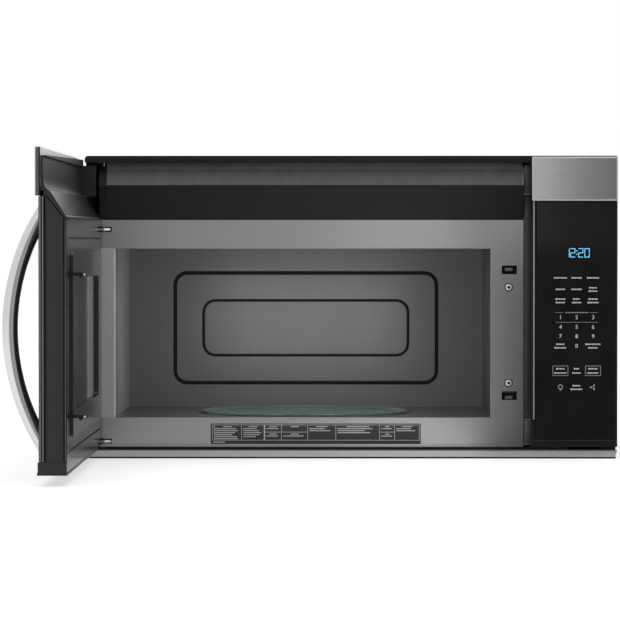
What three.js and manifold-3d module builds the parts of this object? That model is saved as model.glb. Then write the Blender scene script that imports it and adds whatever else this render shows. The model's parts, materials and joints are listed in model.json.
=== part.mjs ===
// Over the range microwave oven with a side-hinged door, shown with the door open at a right angle.
// Millimetres. +X is to the right seen from the front, the front faces -Y and +Z is up.
// The origin is on the underside of the base plate, at mid width and mid depth of the cabinet.
import * as THREE from 'three';
import { mergeVertices } from 'three/addons/utils/BufferGeometryUtils.js';
import Module from 'manifold-3d';

const wasm = await Module();
wasm.setup();

// ---------------------------------------------------------------- driving dimensions

// Cabinet
const cabinetWidth = 760;
const cabinetHeight = 432;
const cabinetDepth = 373; // wall to the face frame
const sheet = 1.2; // steel sheet of the cabinet and the cavity
const plastic = 2.5; // wall of the moulded pieces
const gap = 0.3; // between pieces that touch
const running = 0.6; // between pieces that move on each other

// Door and control panel, in front of the face frame
const frontDepth = 36; // face frame to the outside of the glass
const bandProud = 4; // steel top bands, in front of the glass
const bandHeight = 52;
const panelWidth = 122.3;
const panelDoorGap = 1.7;
const doorEdgeInset = 1; // hinge edge of the door, inside the cabinet's side
const frontBottom = 17; // underside of the door and panel, above the base
const frontTopInset = 2; // top of the door and panel, under the cabinet's top
const baseLipHeight = 13;
const baseLipTaper = 2.6; // its ends lean in by this towards the bottom

// Cavity
const sideDuct = 41.3; // cabinet's left side to the cavity
const componentBay = 178.7; // cavity to the cabinet's right side
const headSpace = 131.7; // cavity's ceiling to the cabinet's top
const rearSpace = 20; // cavity's back to the wall
const cavityFloor = 56.3;
const ringWidth = 6; // pressed rings in the back wall
const ringDepth = 2.2;
const ringCorner = 18;
const ringMargins = [70, 113.5]; // from the cavity's sides to the rings
const ringInsets = [38, 80]; // from its floor and ceiling to the rings
const ringLift = -1; // their middle, above the cavity's middle

// Turntable
const wellDepth = 17;
const wellMargin = 16.5; // well to the cavity's front and back
const wellSlope = 6; // run of the well's sloping side
const trayPlay = 8; // tray's edge inside the well
const trayGlass = 4.5;
const trayRimRise = 4;
const rollerRadius = 6;
const rollerWidth = 6;
const rollerInset = 46; // middle of the rollers, inside the tray's edge
const ringSection = 8; // radial width of the roller ring
const shaftRadius = 4;

// Face frame
const frameTopInset = 89.7; // its top, under the cabinet's top
const frameBottom = 14.6;
const flangeWidth = 10; // its right edge to the control panel
const flangeTopInset = 54; // side flange's top, under the cabinet's top
const flangeThick = 1.3;
const latchSlotWidth = 21.6;
const latchInset = 20.2; // latch slots' middle, inside the frame's right edge
const upperLatchInset = 31.4; // under the cavity's ceiling
const lowerLatchRise = 32.2; // above the cavity's floor
const hingeArmStart = 12; // hinge plate's arm, beside the pin
const hingeArmWidth = 16;
const hingeSlotPlay = 2; // slot round the arm
const upperHingeInset = 105; // under the cabinet's top
const lowerHinge = 23;

// Vent
const ventInset = 30; // left end of the vent, from the cabinet's side
const ventNoseInset = 43; // vent's foremost edge, under the cabinet's top
const ventNoseReach = 20.5; // in front of the face frame
const railHeight = 9.5;
const railReach = 25;
const ventSlot = 5;
const ventVanes = 11;

// Door
const hingeInset = 7; // hinge axis, inside the cabinet's side
const hingeBack = 18; // hinge axis, behind the outside of the glass
const doorThickness = 33;
const outerGlass = 4;
const glassTopInset = 4; // top of the outer glass, under the steel band
const chamferHeight = 33; // slope at the top of the door's inner side
const chamferLeft = 8; // door thickness left at the top of the chamfer
const bottomTrim = 14;
const windowMargin = 55; // window to the cavity's sides
const windowRise = 32; // window to the cavity's floor and ceiling
const windowCorner = 12;
const windowLip = 6; // inner frame's edge, inside the window
const innerFrameMargin = 4; // inner frame, inside the cavity's mouth
const doorGrooveMargin = 14; // pressed groove on the door's inner side, outside the cavity's mouth
const doorGrooveWidth = 2;
const doorGrooveDepth = 0.8;
const endSlotWidth = 2.8; // slots down the door's latch end
const endSlotDepth = 1.2;
const endSlotInset = 1.2; // behind the door's glass
const endSlotFoot = 2; // lower slot's foot, above the shell's bottom
const endSlotHeight = 16.3; // lower slot
const endSlotBridge = 9.4; // between the two slots
const endLineWidth = 1; // line along the inner edge of that end
const coveEndReach = 8.5; // hinge end plate of the deflector, behind the hinge axis
const coveTopInset = 12; // deflector's top, under the top of the steel band
const innerFrameRise = 4;
const pinRadius = 3;
const pinReach = 9;
const hingePlate = 3;
const openAngle = 90;

// Handle
const handleTopInset = 86; // where its middle line meets the glass, under the cabinet's top
const handleBottom = 52;
const handleBow = 52; // its farthest point from the glass
const handleThick = 20;
const handleWide = 24;
const handleInset = 38; // from the door's latch edge

// Latch
const hookReach = 22;
const hookHeight = 7;
const hookThick = 5;
const latchTravel = 4;
const latchSlotHeight = hookHeight + latchTravel + 1.5;
const latchBarWidth = 14;

// Hood
const filterWidth = 262;
const filterLength = 146;
const filterThick = 8;
const filterSpacing = 190; // filter middle to the cabinet's middle
const filterBack = 128.5; // filters' middle to the wall
const lampWidth = 150;
const lampLength = 58;
const lampBack = 58.5; // its middle, behind the face frame

// Blower
const wheelMargin = 47.7; // head space that the wheels leave free
const wheelWidth = 62;
const wheelBlades = 12;
const wheelSpacing = 72; // wheel middle to the motor's middle
const blowerMotorRadius = 33;
const blowerBack = 74.5; // wheels' axis to the wall
const blowerDrop = 3.15; // wheels' axis, under the head space's middle

// Components
const shelfHeight = 32;
const waveguideDepth = 40;
const waveguideWidth = 104;
const waveguideHeight = 92;
const waveguideFlange = 10;
const magnetronRise = 135.7; // antenna, above the cavity's floor
const magnetronY = 8;
const magnetronLength = 68;
const magnetronWidth = 84;
const magnetronFins = 6;
const yokeWidth = 80;
const fanRadius = 52;
const fanBack = 74.5; // fan's middle to the wall
const fanDrop = 66; // its axis, under the oven lamp
const transformerWidth = 100;
const transformerDepth = 64;
const transformerHeight = 78;
const transformerX = 72; // its middle, right of the cavity
const transformerY = -6;
const capacitorLength = 80;
const capacitorWidth = 34;
const capacitorHeight = 52;
const capacitorX = 74; // its middle, right of the cavity
const capacitorBack = 74.5; // its middle, behind the face frame
const ovenLampInset = 42.3; // its middle, under the cavity's ceiling
const ovenLampBack = 46.5; // its middle, in front of the cavity's back
const filterBoardInset = 48; // noise filter board's top, under the cabinet's top
const filterBoardHeight = 62;
const filterBoardWidth = 76;
const filterBoardSide = 42; // its right end, inside the cabinet's right side

// ---------------------------------------------------------------- places worked out from them

const left = -cabinetWidth / 2;
const right = cabinetWidth / 2;
const back = cabinetDepth / 2;
const face = -cabinetDepth / 2;
const front = face - frontDepth;
const frontTop = cabinetHeight - frontTopInset;
const bandBottom = frontTop - bandHeight;

const panelLeft = right - panelWidth;
const doorLeft = left + doorEdgeInset;
const doorRight = panelLeft - panelDoorGap;
const doorInner = front + doorThickness;
const hingeX = left + hingeInset;
const hingeY = front + hingeBack;

const cavityLeft = left + sideDuct;
const cavityRight = right - componentBay;
const cavityTop = cabinetHeight - headSpace;
const cavityFront = face + sheet + gap;
const cavityBack = back - rearSpace;
const cavityX = (cavityLeft + cavityRight) / 2;
const cavityY = (face + cavityBack) / 2;
const wellFloor = cavityFloor - wellDepth;
const wellRadius = (cavityBack - face) / 2 - wellMargin;
const trayRadius = wellRadius - trayPlay;
const rollerCircle = trayRadius - rollerInset;

const frameTop = cabinetHeight - frameTopInset;
const frameEdge = panelLeft - flangeWidth;
const flangeTop = cabinetHeight - flangeTopInset;
const latchX = frameEdge - latchInset;
const upperLatch = cavityTop - upperLatchInset;
const lowerLatch = cavityFloor + lowerLatchRise;
const upperHinge = cabinetHeight - upperHingeInset;
const hingeArmX = hingeX + hingeArmStart;
const ventNose = cabinetHeight - ventNoseInset;
const chamferTop = bandBottom - glassTopInset;
const chamferStart = chamferTop - chamferHeight;
const handleTop = cabinetHeight - handleTopInset;
const blowerY = back - blowerBack;
const blowerZ = (cavityTop + cabinetHeight) / 2 - blowerDrop;
const wheelRadius = (headSpace - wheelMargin) / 2;
const filterY = back - filterBack;
const lampY = face + lampBack;
const magnetronZ = cavityFloor + magnetronRise;
const fanY = back - fanBack;
const ovenLampY = cavityBack - ovenLampBack;
const ovenLampZ = cavityTop - ovenLampInset;
const fanZ = ovenLampZ - fanDrop;

// ---------------------------------------------------------------- finishes

function finish(color, roughness, metalness, extra = {}) {
  return new THREE.MeshStandardMaterial({ color, roughness, metalness, ...extra });
}

const blackPaint = () => finish(0x141414, 0.45, 0.1);
const galvanised = () => finish(0x9a9c9e, 0.45, 0.8);
const greyEnamel = () => finish(0x8d8b8a, 0.4, 0.35);
const cavityEnamel = () => finish(0x55504e, 0.35, 0.3);
const brushedSteel = () => finish(0xa8a6a3, 0.32, 1);
const blackPlastic = () => finish(0x1b1b1c, 0.4, 0);
const blackGlass = () => finish(0x0c0c0d, 0.08, 0);
const darkGlass = () => finish(0x101214, 0.06, 0, { transparent: true, opacity: 0.8 });
const clearGlass = () => finish(0xbfd8cc, 0.05, 0, { transparent: true, opacity: 0.4 });
const castAluminium = () => finish(0xb4b6b8, 0.4, 0.9);
const paleNylon = () => finish(0xd8d6cf, 0.5, 0);
const circuitBoard = () => finish(0x1f5b36, 0.5, 0);
const laminatedSteel = () => finish(0x4a4b4d, 0.5, 0.7);
const mica = () => finish(0xb9ab8d, 0.6, 0);

// ---------------------------------------------------------------- solids

function solid(geometry) {
  const plain = geometry.index ? geometry.clone() : geometry;
  plain.deleteAttribute('normal');
  plain.deleteAttribute('uv');
  const merged = mergeVertices(plain, 1e-4);
  const mesh = new wasm.Mesh({
    numProp: 3,
    vertProperties: new Float32Array(merged.attributes.position.array),
    triVerts: new Uint32Array(merged.index.array),
  });
  mesh.merge();
  return new wasm.Manifold(mesh);
}

function join(first, ...others) {
  return others.reduce((sum, other) => sum.add(other), first);
}

function cut(body, ...tools) {
  return tools.reduce((rest, tool) => rest.subtract(tool), body);
}

function toGeometry(body) {
  const mesh = body.getMesh();
  const geometry = new THREE.BufferGeometry();
  geometry.setAttribute('position', new THREE.BufferAttribute(mesh.vertProperties, 3));
  geometry.setIndex(new THREE.BufferAttribute(mesh.triVerts, 1));
  geometry.computeVertexNormals();
  return geometry;
}

// A block between two corners.
function block(x0, x1, y0, y1, z0, z1) {
  const geometry = new THREE.BoxGeometry(x1 - x0, y1 - y0, z1 - z0);
  geometry.translate((x0 + x1) / 2, (y0 + y1) / 2, (z0 + z1) / 2);
  return solid(geometry);
}

function polygon(points) {
  return new THREE.Shape(points.map(([a, b]) => new THREE.Vector2(a, b)));
}

// A rectangle with round corners, counter-clockwise.
function roundRect(a0, a1, b0, b1, radius, target = new THREE.Shape()) {
  target.moveTo(a0 + radius, b0);
  target.lineTo(a1 - radius, b0);
  target.absarc(a1 - radius, b0 + radius, radius, -Math.PI / 2, 0, false);
  target.lineTo(a1, b1 - radius);
  target.absarc(a1 - radius, b1 - radius, radius, 0, Math.PI / 2, false);
  target.lineTo(a0 + radius, b1);
  target.absarc(a0 + radius, b1 - radius, radius, Math.PI / 2, Math.PI, false);
  target.lineTo(a0, b0 + radius);
  target.absarc(a0 + radius, b0 + radius, radius, Math.PI, Math.PI * 1.5, false);
  return target;
}

function extrude(shape, depth, curveSegments) {
  return new THREE.ExtrudeGeometry(shape, { depth, bevelEnabled: false, curveSegments });
}

// Shapes drawn in XY, YZ or XZ and extruded along the third axis.
function alongZ(shape, z0, z1, curveSegments = 5) {
  return solid(extrude(shape, z1 - z0, curveSegments).translate(0, 0, z0));
}

function alongX(shape, x0, x1, curveSegments = 5) {
  const turn = new THREE.Matrix4().makeBasis(
    new THREE.Vector3(0, 1, 0),
    new THREE.Vector3(0, 0, 1),
    new THREE.Vector3(1, 0, 0),
  );
  return solid(extrude(shape, x1 - x0, curveSegments).applyMatrix4(turn).translate(x0, 0, 0));
}

function alongY(shape, y0, y1, curveSegments = 5) {
  const turn = new THREE.Matrix4().makeBasis(
    new THREE.Vector3(1, 0, 0),
    new THREE.Vector3(0, 0, 1),
    new THREE.Vector3(0, -1, 0),
  );
  return solid(extrude(shape, y1 - y0, curveSegments).applyMatrix4(turn).translate(0, y1, 0));
}

// A turned solid about Z: [radius, z] points from the axis round to the axis, or closed.
function turned(points, segments = 24) {
  const profile = points.map(([radius, z]) => new THREE.Vector2(radius, z));
  return solid(new THREE.LatheGeometry(profile, segments).rotateX(Math.PI / 2));
}

function rod(radius, z0, z1, segments = 16) {
  const geometry = new THREE.CylinderGeometry(radius, radius, z1 - z0, segments);
  return solid(geometry.rotateX(Math.PI / 2).translate(0, 0, (z0 + z1) / 2));
}

function ringRod(inner, outer, z0, z1, segments = 24) {
  return cut(rod(outer, z0, z1, segments), rod(inner, z0 - 1, z1 + 1, segments));
}

const toX = (body) => body.rotate([0, 90, 0]);
const toY = (body) => body.rotate([-90, 0, 0]);

// An open tray of sheet: the floor is at the front of the box and the rim runs back.
function pan(x0, x1, y0, y1, z0, z1, wall) {
  const outer = block(x0, x1, y0, y1, z0, z1);
  return cut(outer, block(x0 + wall, x1 - wall, y0 + wall, y1 + 1, z0 + wall, z1 - wall));
}

function rectangle(x0, x1, z0, z1) {
  return polygon([[x0, z0], [x1, z0], [x1, z1], [x0, z1]]);
}

const product = new THREE.Group();

function place(parent, name, body, material) {
  const mesh = new THREE.Mesh(toGeometry(body), material);
  mesh.name = name;
  parent.add(mesh);
  return mesh;
}

// ---------------------------------------------------------------- cabinet shell

const innerLeft = left + sheet + gap;
const innerRight = right - sheet - gap;
const innerBack = back - sheet - gap;
const exhaustWidth = 252;
const exhaustLength = 84;
const glandRadius = 14;
const glandX = right - 62;
const glandY = back - 46;
const shelfFlange = 16;
const foldWidth = 10;
const topFold = 7;
const sideSlotRows = 5;
const sideSlotPitch = 16;
const sideSlotHeight = 5;
const sideSlotLength = 90;
const sideSlotBack = 36.5; // slots' rear end to the wall
const sideSlotDrop = 182; // lowest slot, under the cabinet's top
const hangerInset = 95; // hanging slots, inside the cabinet's sides
const hangerHeight = 30;
const hangerLength = 56;
const hangerWidth = 8;
const ductInset = 110; // rear outlet's lower edge, under the cabinet's top
const lipInset = 2.5; // base plate's lip, behind the glass
const lipEndDepth = 12; // slanted ends of the lip, front to back
const stiffenerX = 20;
const stiffenerWidth = 12;

function topPanel() {
  const z0 = cabinetHeight - sheet;
  let panel = block(innerLeft, innerRight, face, back, z0, cabinetHeight);
  const fold = alongX(
    polygon([[face, z0 - topFold], [face + sheet, z0 - topFold], [face + sheet, z0 + 0.1], [face, z0 + 0.1]]),
    innerLeft + foldWidth, innerRight - foldWidth,
  );
  panel = join(panel, fold);
  const exhaust = roundRect(
    -exhaustWidth / 2, exhaustWidth / 2, blowerY - exhaustLength / 2, blowerY + exhaustLength / 2, 6,
  );
  const glandHole = rod(glandRadius + gap, z0 - 1, cabinetHeight + 1).translate([glandX, glandY, 0]);
  return cut(panel, alongZ(exhaust, z0 - 1, cabinetHeight + 1), glandHole);
}

function sidePanel(sign) {
  const x0 = sign > 0 ? right - sheet : left;
  const x1 = x0 + sheet;
  const side = block(x0, x1, face, back, gap + sheet, cabinetHeight);
  const slots = [];
  const slotY = back - sideSlotBack - sideSlotLength;
  for (let row = 0; row < sideSlotRows; row += 1) {
    const z = cabinetHeight - sideSlotDrop + row * sideSlotPitch;
    slots.push(block(x0 - 1, x1 + 1, slotY, slotY + sideSlotLength, z, z + sideSlotHeight));
  }
  return sign > 0 ? cut(side, ...slots) : side;
}

function backPlate() {
  const plate = alongY(
    rectangle(innerLeft, innerRight, sheet + gap, cabinetHeight - sheet - gap), back - sheet, back,
  );
  const hangers = [-1, 1].map((sign) => {
    const x = sign * (cabinetWidth / 2 - hangerInset);
    const slot = roundRect(
      x - hangerLength / 2, x + hangerLength / 2,
      hangerHeight - hangerWidth / 2, hangerHeight + hangerWidth / 2, hangerWidth / 2 - 0.1,
    );
    return alongY(slot, back - sheet - 1, back + 1, 3);
  });
  const ductBottom = cabinetHeight - ductInset;
  const duct = roundRect(-exhaustWidth / 2, exhaustWidth / 2, ductBottom, ductBottom + exhaustLength, 6);
  return cut(plate, ...hangers, alongY(duct, back - sheet - 1, back + 1, 3));
}

const filterHoleX = filterWidth / 2 + running;
const filterHoleY = filterLength / 2 + running;

function basePlate() {
  const lipFront = front + lipInset;
  const profile = polygon([
    [lipFront, 0],
    [back, 0],
    [back, sheet],
    [lipFront + sheet, sheet],
    [lipFront + sheet, baseLipHeight],
    [lipFront, baseLipHeight],
  ]);
  const plate = alongX(profile, left, right);
  const openings = [-1, 1].map((sign) => {
    const x = sign * filterSpacing;
    return block(
      x - filterHoleX, x + filterHoleX, filterY - filterHoleY, filterY + filterHoleY, -1, sheet + 1,
    );
  });
  const lamp = block(
    -lampWidth / 2 - running, lampWidth / 2 + running,
    lampY - lampLength / 2 - running, lampY + lampLength / 2 + running, -1, sheet + 1,
  );
  const stiffeners = [-1, 1].map((sign) => block(
    sign * stiffenerX - stiffenerWidth / 2, sign * stiffenerX + stiffenerWidth / 2,
    filterY - filterHoleY, filterY + filterHoleY, sheet - 0.1, sheet + 2,
  ));
  const lean = baseLipTaper / baseLipHeight;
  const tapers = [-1, 1].map((side) => alongY(polygon([
    [side * (right - baseLipTaper - lean), -1],
    [side * (right + 1), -1],
    [side * (right + 1), baseLipHeight + 1],
    [side * (right + lean), baseLipHeight + 1],
  ]), lipFront - 1, lipFront + lipEndDepth));
  return join(cut(plate, ...openings, lamp, ...tapers), ...stiffeners);
}

function componentShelf() {
  const x0 = cavityRight + sheet + gap;
  const x1 = innerRight - gap;
  const profile = polygon([
    [x0, shelfHeight - sheet],
    [x1 - sheet, shelfHeight - sheet],
    [x1 - sheet, sheet + gap],
    [x1, sheet + gap],
    [x1, shelfHeight],
    [x0 + sheet, shelfHeight],
    [x0 + sheet, cavityFloor + shelfFlange],
    [x0, cavityFloor + shelfFlange],
  ]);
  return alongY(profile, face + frontDepth, innerBack - 6);
}

place(product, 'top_panel', topPanel(), blackPaint());
place(product, 'left_side_panel', sidePanel(-1), blackPaint());
place(product, 'right_side_panel', sidePanel(1), blackPaint());
place(product, 'back_plate', backPlate(), galvanised());
place(product, 'base_plate', basePlate(), greyEnamel());
place(product, 'component_shelf', componentShelf(), galvanised());

// ---------------------------------------------------------------- face frame

function hingeOpening(z) {
  const half = hingePlate / 2 + hingeSlotPlay;
  const x0 = hingeArmX - hingeSlotPlay;
  const x1 = hingeArmX + hingeArmWidth + hingeSlotPlay;
  return alongY(rectangle(x0, x1, z - half, z + half), face - 1, face + sheet + 1);
}

function latchOpening(z) {
  const slot = rectangle(
    latchX - latchSlotWidth / 2, latchX + latchSlotWidth / 2, z - latchSlotHeight / 2, z + latchSlotHeight / 2,
  );
  return alongY(slot, face - 1, face + sheet + 1);
}

function faceFrame() {
  const plate = alongY(rectangle(innerLeft, frameEdge, frameBottom, frameTop), face, face + sheet);
  const flangeY = face + sheet / 2;
  const flange = block(
    frameEdge - 2, panelLeft - gap, flangeY, flangeY + flangeThick, frameBottom + 4, flangeTop,
  );
  const foot = block(innerLeft, frameEdge, face, face + foldWidth, frameBottom, frameBottom + sheet);
  const mouth = alongY(rectangle(cavityLeft, cavityRight, cavityFloor, cavityTop), face - 1, face + foldWidth);
  return cut(
    join(plate, flange, foot), mouth,
    latchOpening(upperLatch), latchOpening(lowerLatch),
    hingeOpening(upperHinge), hingeOpening(lowerHinge),
  );
}

place(product, 'face_frame', faceFrame(), greyEnamel());

// ---------------------------------------------------------------- cavity

const apertureWidth = 92;
const apertureHeight = 46;
const lightPitch = 8; // holes in front of the oven lamp

function cavityFloorPan() {
  const sheetZ = cavityFloor - sheet;
  const plate = block(cavityLeft - sheet, cavityRight + sheet, cavityFront, cavityBack, sheetZ, cavityFloor);
  const wall = turned([
    [0, wellFloor - sheet],
    [wellRadius - wellSlope + sheet, wellFloor - sheet],
    [wellRadius + sheet, sheetZ - 0.5],
    [wellRadius + sheet, cavityFloor],
    [0, cavityFloor],
  ], 32).translate([cavityX, cavityY, 0]);
  const bowl = turned([
    [0, wellFloor],
    [wellRadius - wellSlope, wellFloor],
    [wellRadius, cavityFloor - 0.5],
    [wellRadius, cavityFloor + 1],
    [0, cavityFloor + 1],
  ], 32).translate([cavityX, cavityY, 0]);
  const shaftHole = rod(shaftRadius + running, wellFloor - sheet - 1, cavityFloor);
  return cut(join(plate, wall), bowl, shaftHole.translate([cavityX, cavityY, 0]));
}

function cavityRightWall() {
  const wall = block(
    cavityRight, cavityRight + sheet, cavityFront, cavityBack - gap, cavityFloor + gap, cavityTop - gap,
  );
  const aperture = block(
    cavityRight - 1, cavityRight + sheet + 1,
    magnetronY - apertureWidth / 2, magnetronY + apertureWidth / 2,
    magnetronZ - apertureHeight / 2, magnetronZ + apertureHeight / 2,
  );
  const lightHoles = [];
  [-1, 0, 1].forEach((column) => {
    [-1, 0, 1].forEach((row) => {
      const y = ovenLampY + column * lightPitch;
      const z = ovenLampZ + row * lightPitch;
      lightHoles.push(toX(rod(2, -2, 4, 6)).translate([cavityRight, y, z]));
    });
  });
  return cut(wall, aperture, ...lightHoles);
}

function pressedRing(margin, inset, y0, y1, width) {
  const x0 = cavityLeft + margin;
  const x1 = cavityRight - margin;
  const z0 = cavityFloor + inset + ringLift;
  const z1 = cavityTop - inset + ringLift;
  const half = width / 2;
  const outer = roundRect(x0 - half, x1 + half, z0 - half, z1 + half, ringCorner + half);
  const hole = roundRect(x0 + half, x1 - half, z0 + half, z1 - half, ringCorner - half, new THREE.Path());
  outer.holes.push(hole);
  return alongY(outer, y0, y1, 3);
}

function cavityBackWall() {
  const y0 = cavityBack;
  let wall = block(
    cavityLeft - sheet, cavityRight + sheet, y0, y0 + sheet, cavityFloor - sheet, cavityTop + sheet,
  );
  ringMargins.forEach((margin, index) => {
    const inset = ringInsets[index];
    const rib = pressedRing(margin, inset, y0 + sheet - 0.2, y0 + sheet + ringDepth, ringWidth + 2 * sheet);
    const groove = pressedRing(margin, inset, y0 - 1, y0 + ringDepth, ringWidth);
    wall = cut(join(wall, rib), groove);
  });
  return wall;
}

place(product, 'cavity_floor', cavityFloorPan(), cavityEnamel());
place(
  product, 'cavity_ceiling',
  block(cavityLeft - sheet, cavityRight + sheet, cavityFront, cavityBack - gap, cavityTop, cavityTop + sheet),
  cavityEnamel(),
);
place(
  product, 'cavity_left_wall',
  block(cavityLeft - sheet, cavityLeft, cavityFront, cavityBack - gap, cavityFloor + gap, cavityTop - gap),
  cavityEnamel(),
);
place(product, 'cavity_right_wall', cavityRightWall(), cavityEnamel());
place(product, 'cavity_back_wall', cavityBackWall(), cavityEnamel());

// ---------------------------------------------------------------- vent above the face frame

const ventLeft = left + ventInset;
const ventRight = frameEdge;
const ventEnd = 10;
const ventTopZ = cabinetHeight - railHeight - ventSlot;
const ventNoseY = face - ventNoseReach;
const ventSheet = 2;

// An apron that leans out to the nose, a band that leans back up from it, and vanes in the slot behind.
function ventGrille() {
  const outer = alongX(polygon([
    [face, frameTop + gap],
    [face - 1.5, frameTop + gap],
    [ventNoseY, ventNose - 1],
    [ventNoseY, ventNose + 1],
    [face - 5, ventTopZ],
    [face, ventTopZ],
  ]), ventLeft - ventEnd, ventRight - gap);
  const hollow = alongX(polygon([
    [face + 1, frameTop + gap + 4],
    [face - 1.5, frameTop + gap + 4],
    [ventNoseY + ventSheet, ventNose - 0.6],
    [ventNoseY + ventSheet, ventNose + 0.6],
    [face - 5 + ventSheet, ventTopZ - 1.5],
    [face - 5 + ventSheet, ventTopZ + 1],
    [face + 1, ventTopZ + 1],
  ]), ventLeft, ventRight - gap - ventSheet);
  let grille = cut(outer, hollow);
  const pitch = (ventRight - ventLeft) / (ventVanes + 1);
  for (let vane = 1; vane <= ventVanes; vane += 1) {
    const x = ventLeft + vane * pitch;
    const web = alongX(polygon([
      [face - 0.5, ventNose],
      [ventNoseY + 1, ventNose],
      [face - 4, ventTopZ],
      [face - 0.5, ventTopZ],
    ]), x - 1, x + 1);
    grille = join(grille, web);
  }
  return grille;
}

function topRail() {
  const z0 = cabinetHeight - railHeight;
  const reach = face - railReach;
  const shape = new THREE.Shape();
  shape.moveTo(left, z0);
  shape.lineTo(panelLeft - gap, z0);
  shape.lineTo(panelLeft - gap, frontTop + gap);
  shape.lineTo(right, frontTop + gap);
  shape.lineTo(right, cabinetHeight);
  shape.lineTo(left + 5, cabinetHeight);
  shape.absarc(left + 5, cabinetHeight - 5, 5, Math.PI / 2, Math.PI, false);
  return alongY(shape, reach, face - gap, 4);
}

const carbonThick = 14;
const carbonBack = 22; // its front, behind the face frame
const carbonInsets = [40, 60]; // its ends, inside the vent's ends

// A framed pad of carbon behind the vent: its face is open in slots.
function charcoalFilter() {
  const y0 = face + carbonBack;
  const y1 = y0 + carbonThick;
  const x0 = ventLeft + carbonInsets[0];
  const x1 = ventRight - carbonInsets[1];
  const z0 = cavityTop + sheet + gap;
  const z1 = cabinetHeight - sheet - foldWidth - 2;
  const pad = block(x0, x1, y0, y1, z0, z1);
  const windows = [];
  const columns = 6;
  const pitch = (x1 - x0) / columns;
  for (let column = 0; column < columns; column += 1) {
    const a = x0 + column * pitch + 5;
    windows.push(block(a, a + pitch - 10, y0 - 1, y0 + 4, z0 + 8, z1 - 8));
    windows.push(block(a, a + pitch - 10, y1 - 4, y1 + 1, z0 + 8, z1 - 8));
  }
  return cut(pad, ...windows);
}

place(product, 'vent_grille', ventGrille(), blackPlastic());
place(product, 'top_rail', topRail(), blackPlastic());
place(product, 'charcoal_filter', charcoalFilter(), finish(0x202224, 0.9, 0));

// ---------------------------------------------------------------- control panel

const panelRim = 6.8; // rim left of the glass
const panelSill = 10; // rim under the glass
const panelGlass = 3;
const panelSide = 1.5;

function controlPanelFrame() {
  let frame = cut(
    block(panelLeft, right, front, face - gap, frontBottom, frontTop),
    block(
      panelLeft + plastic, right - plastic, front + panelGlass + plastic, face + 1,
      frontBottom + plastic, frontTop - plastic,
    ),
  );
  const glassSeat = block(
    panelLeft + panelRim - gap, right - panelSide + gap, front - 1, front + panelGlass + gap,
    frontBottom + panelSill - gap, bandBottom + gap,
  );
  frame = cut(frame, glassSeat);
  const panelHeight = frontTop - frontBottom;
  const ribs = [0.3, 0.6, 0.88].map((share) => {
    const z = frontBottom + share * panelHeight;
    return block(panelLeft + 1, right - 1, front + panelGlass + 1, front + 12, z - 1, z + 1);
  });
  const posts = [[0.18, 0.12], [0.82, 0.12], [0.18, 0.78], [0.82, 0.78]].map(([across, up]) => {
    const post = toY(rod(3.5, 0, 11, 10));
    return post.translate([
      panelLeft + across * panelWidth, front + panelGlass + 1, frontBottom + up * panelHeight,
    ]);
  });
  return join(frame, ...ribs, ...posts);
}

// The steel band is a shallow cap, folded back along its edges.
function steelBand(x0, x1, y0) {
  return pan(x0, x1, y0, y0 + bandProud - gap, bandBottom + gap, frontTop, 1);
}

function controlGlass() {
  const x0 = panelLeft + panelRim;
  const x1 = right - panelSide;
  return alongY(
    roundRect(x0, x1, frontBottom + panelSill, bandBottom, 2),
    front, front + panelGlass, 3,
  );
}

const boardThick = 1.6;
const boardBack = 13; // control board, behind the panel's glass
const boardInset = 8; // its ends, inside the panel's
const boardRise = 24;
const boardTopShare = 0.84; // its top, as a share of the panel's height
const displayWidth = 46;
const displayHeight = 22;
const displayDrop = 54; // display, under the board's top
const relaySize = [19, 11.6, 16];
const relayPitch = 24;
const supplySize = [40, 11.6, 36];
const supplyRise = 60;
const buzzerRadius = 7;
const buzzerInset = 22;
const buzzerRise = 80;

// A component that stands on the back of the board, from its lower left corner.
function boardPart([width, depth, height], x, y, z) {
  return block(x, x + width, y + boardThick - 0.2, y + boardThick - 0.2 + depth, z, z + height);
}

function controlBoard() {
  const y = front + panelGlass + boardBack;
  const x0 = panelLeft + boardInset;
  const x1 = right - boardInset;
  const z0 = frontBottom + boardRise;
  const z1 = frontBottom + boardTopShare * (frontTop - frontBottom);
  const board = block(x0, x1, y, y + boardThick, z0, z1);
  const displayLeft = (x0 + x1 - displayWidth) / 2;
  const display = block(
    displayLeft, displayLeft + displayWidth, y - 7, y + 0.2, z1 - displayDrop - displayHeight, z1 - displayDrop,
  );
  const relays = [0, 1, 2].map((index) => boardPart(relaySize, x0 + 10 + index * relayPitch, y, z0 + 18));
  const supply = boardPart(supplySize, x0 + 12, y, z0 + supplyRise);
  const buzzer = toY(rod(buzzerRadius, boardThick - 0.2, 9, 14))
    .translate([x1 - buzzerInset, y, z0 + buzzerRise]);
  return join(board, display, ...relays, supply, buzzer);
}

place(product, 'control_panel_frame', controlPanelFrame(), blackPlastic());
place(product, 'control_top_band', steelBand(panelLeft, right, front - bandProud), brushedSteel());
place(product, 'control_glass', controlGlass(), blackGlass());
place(product, 'control_board', controlBoard(), circuitBoard());

// ---------------------------------------------------------------- latch board and hinges

const boardWall = 2;
const boardDepth = 26;
const boardEnd = 22; // board beyond the latch slots
const boardFront = face + sheet / 2 + flangeThick + gap;

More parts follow.
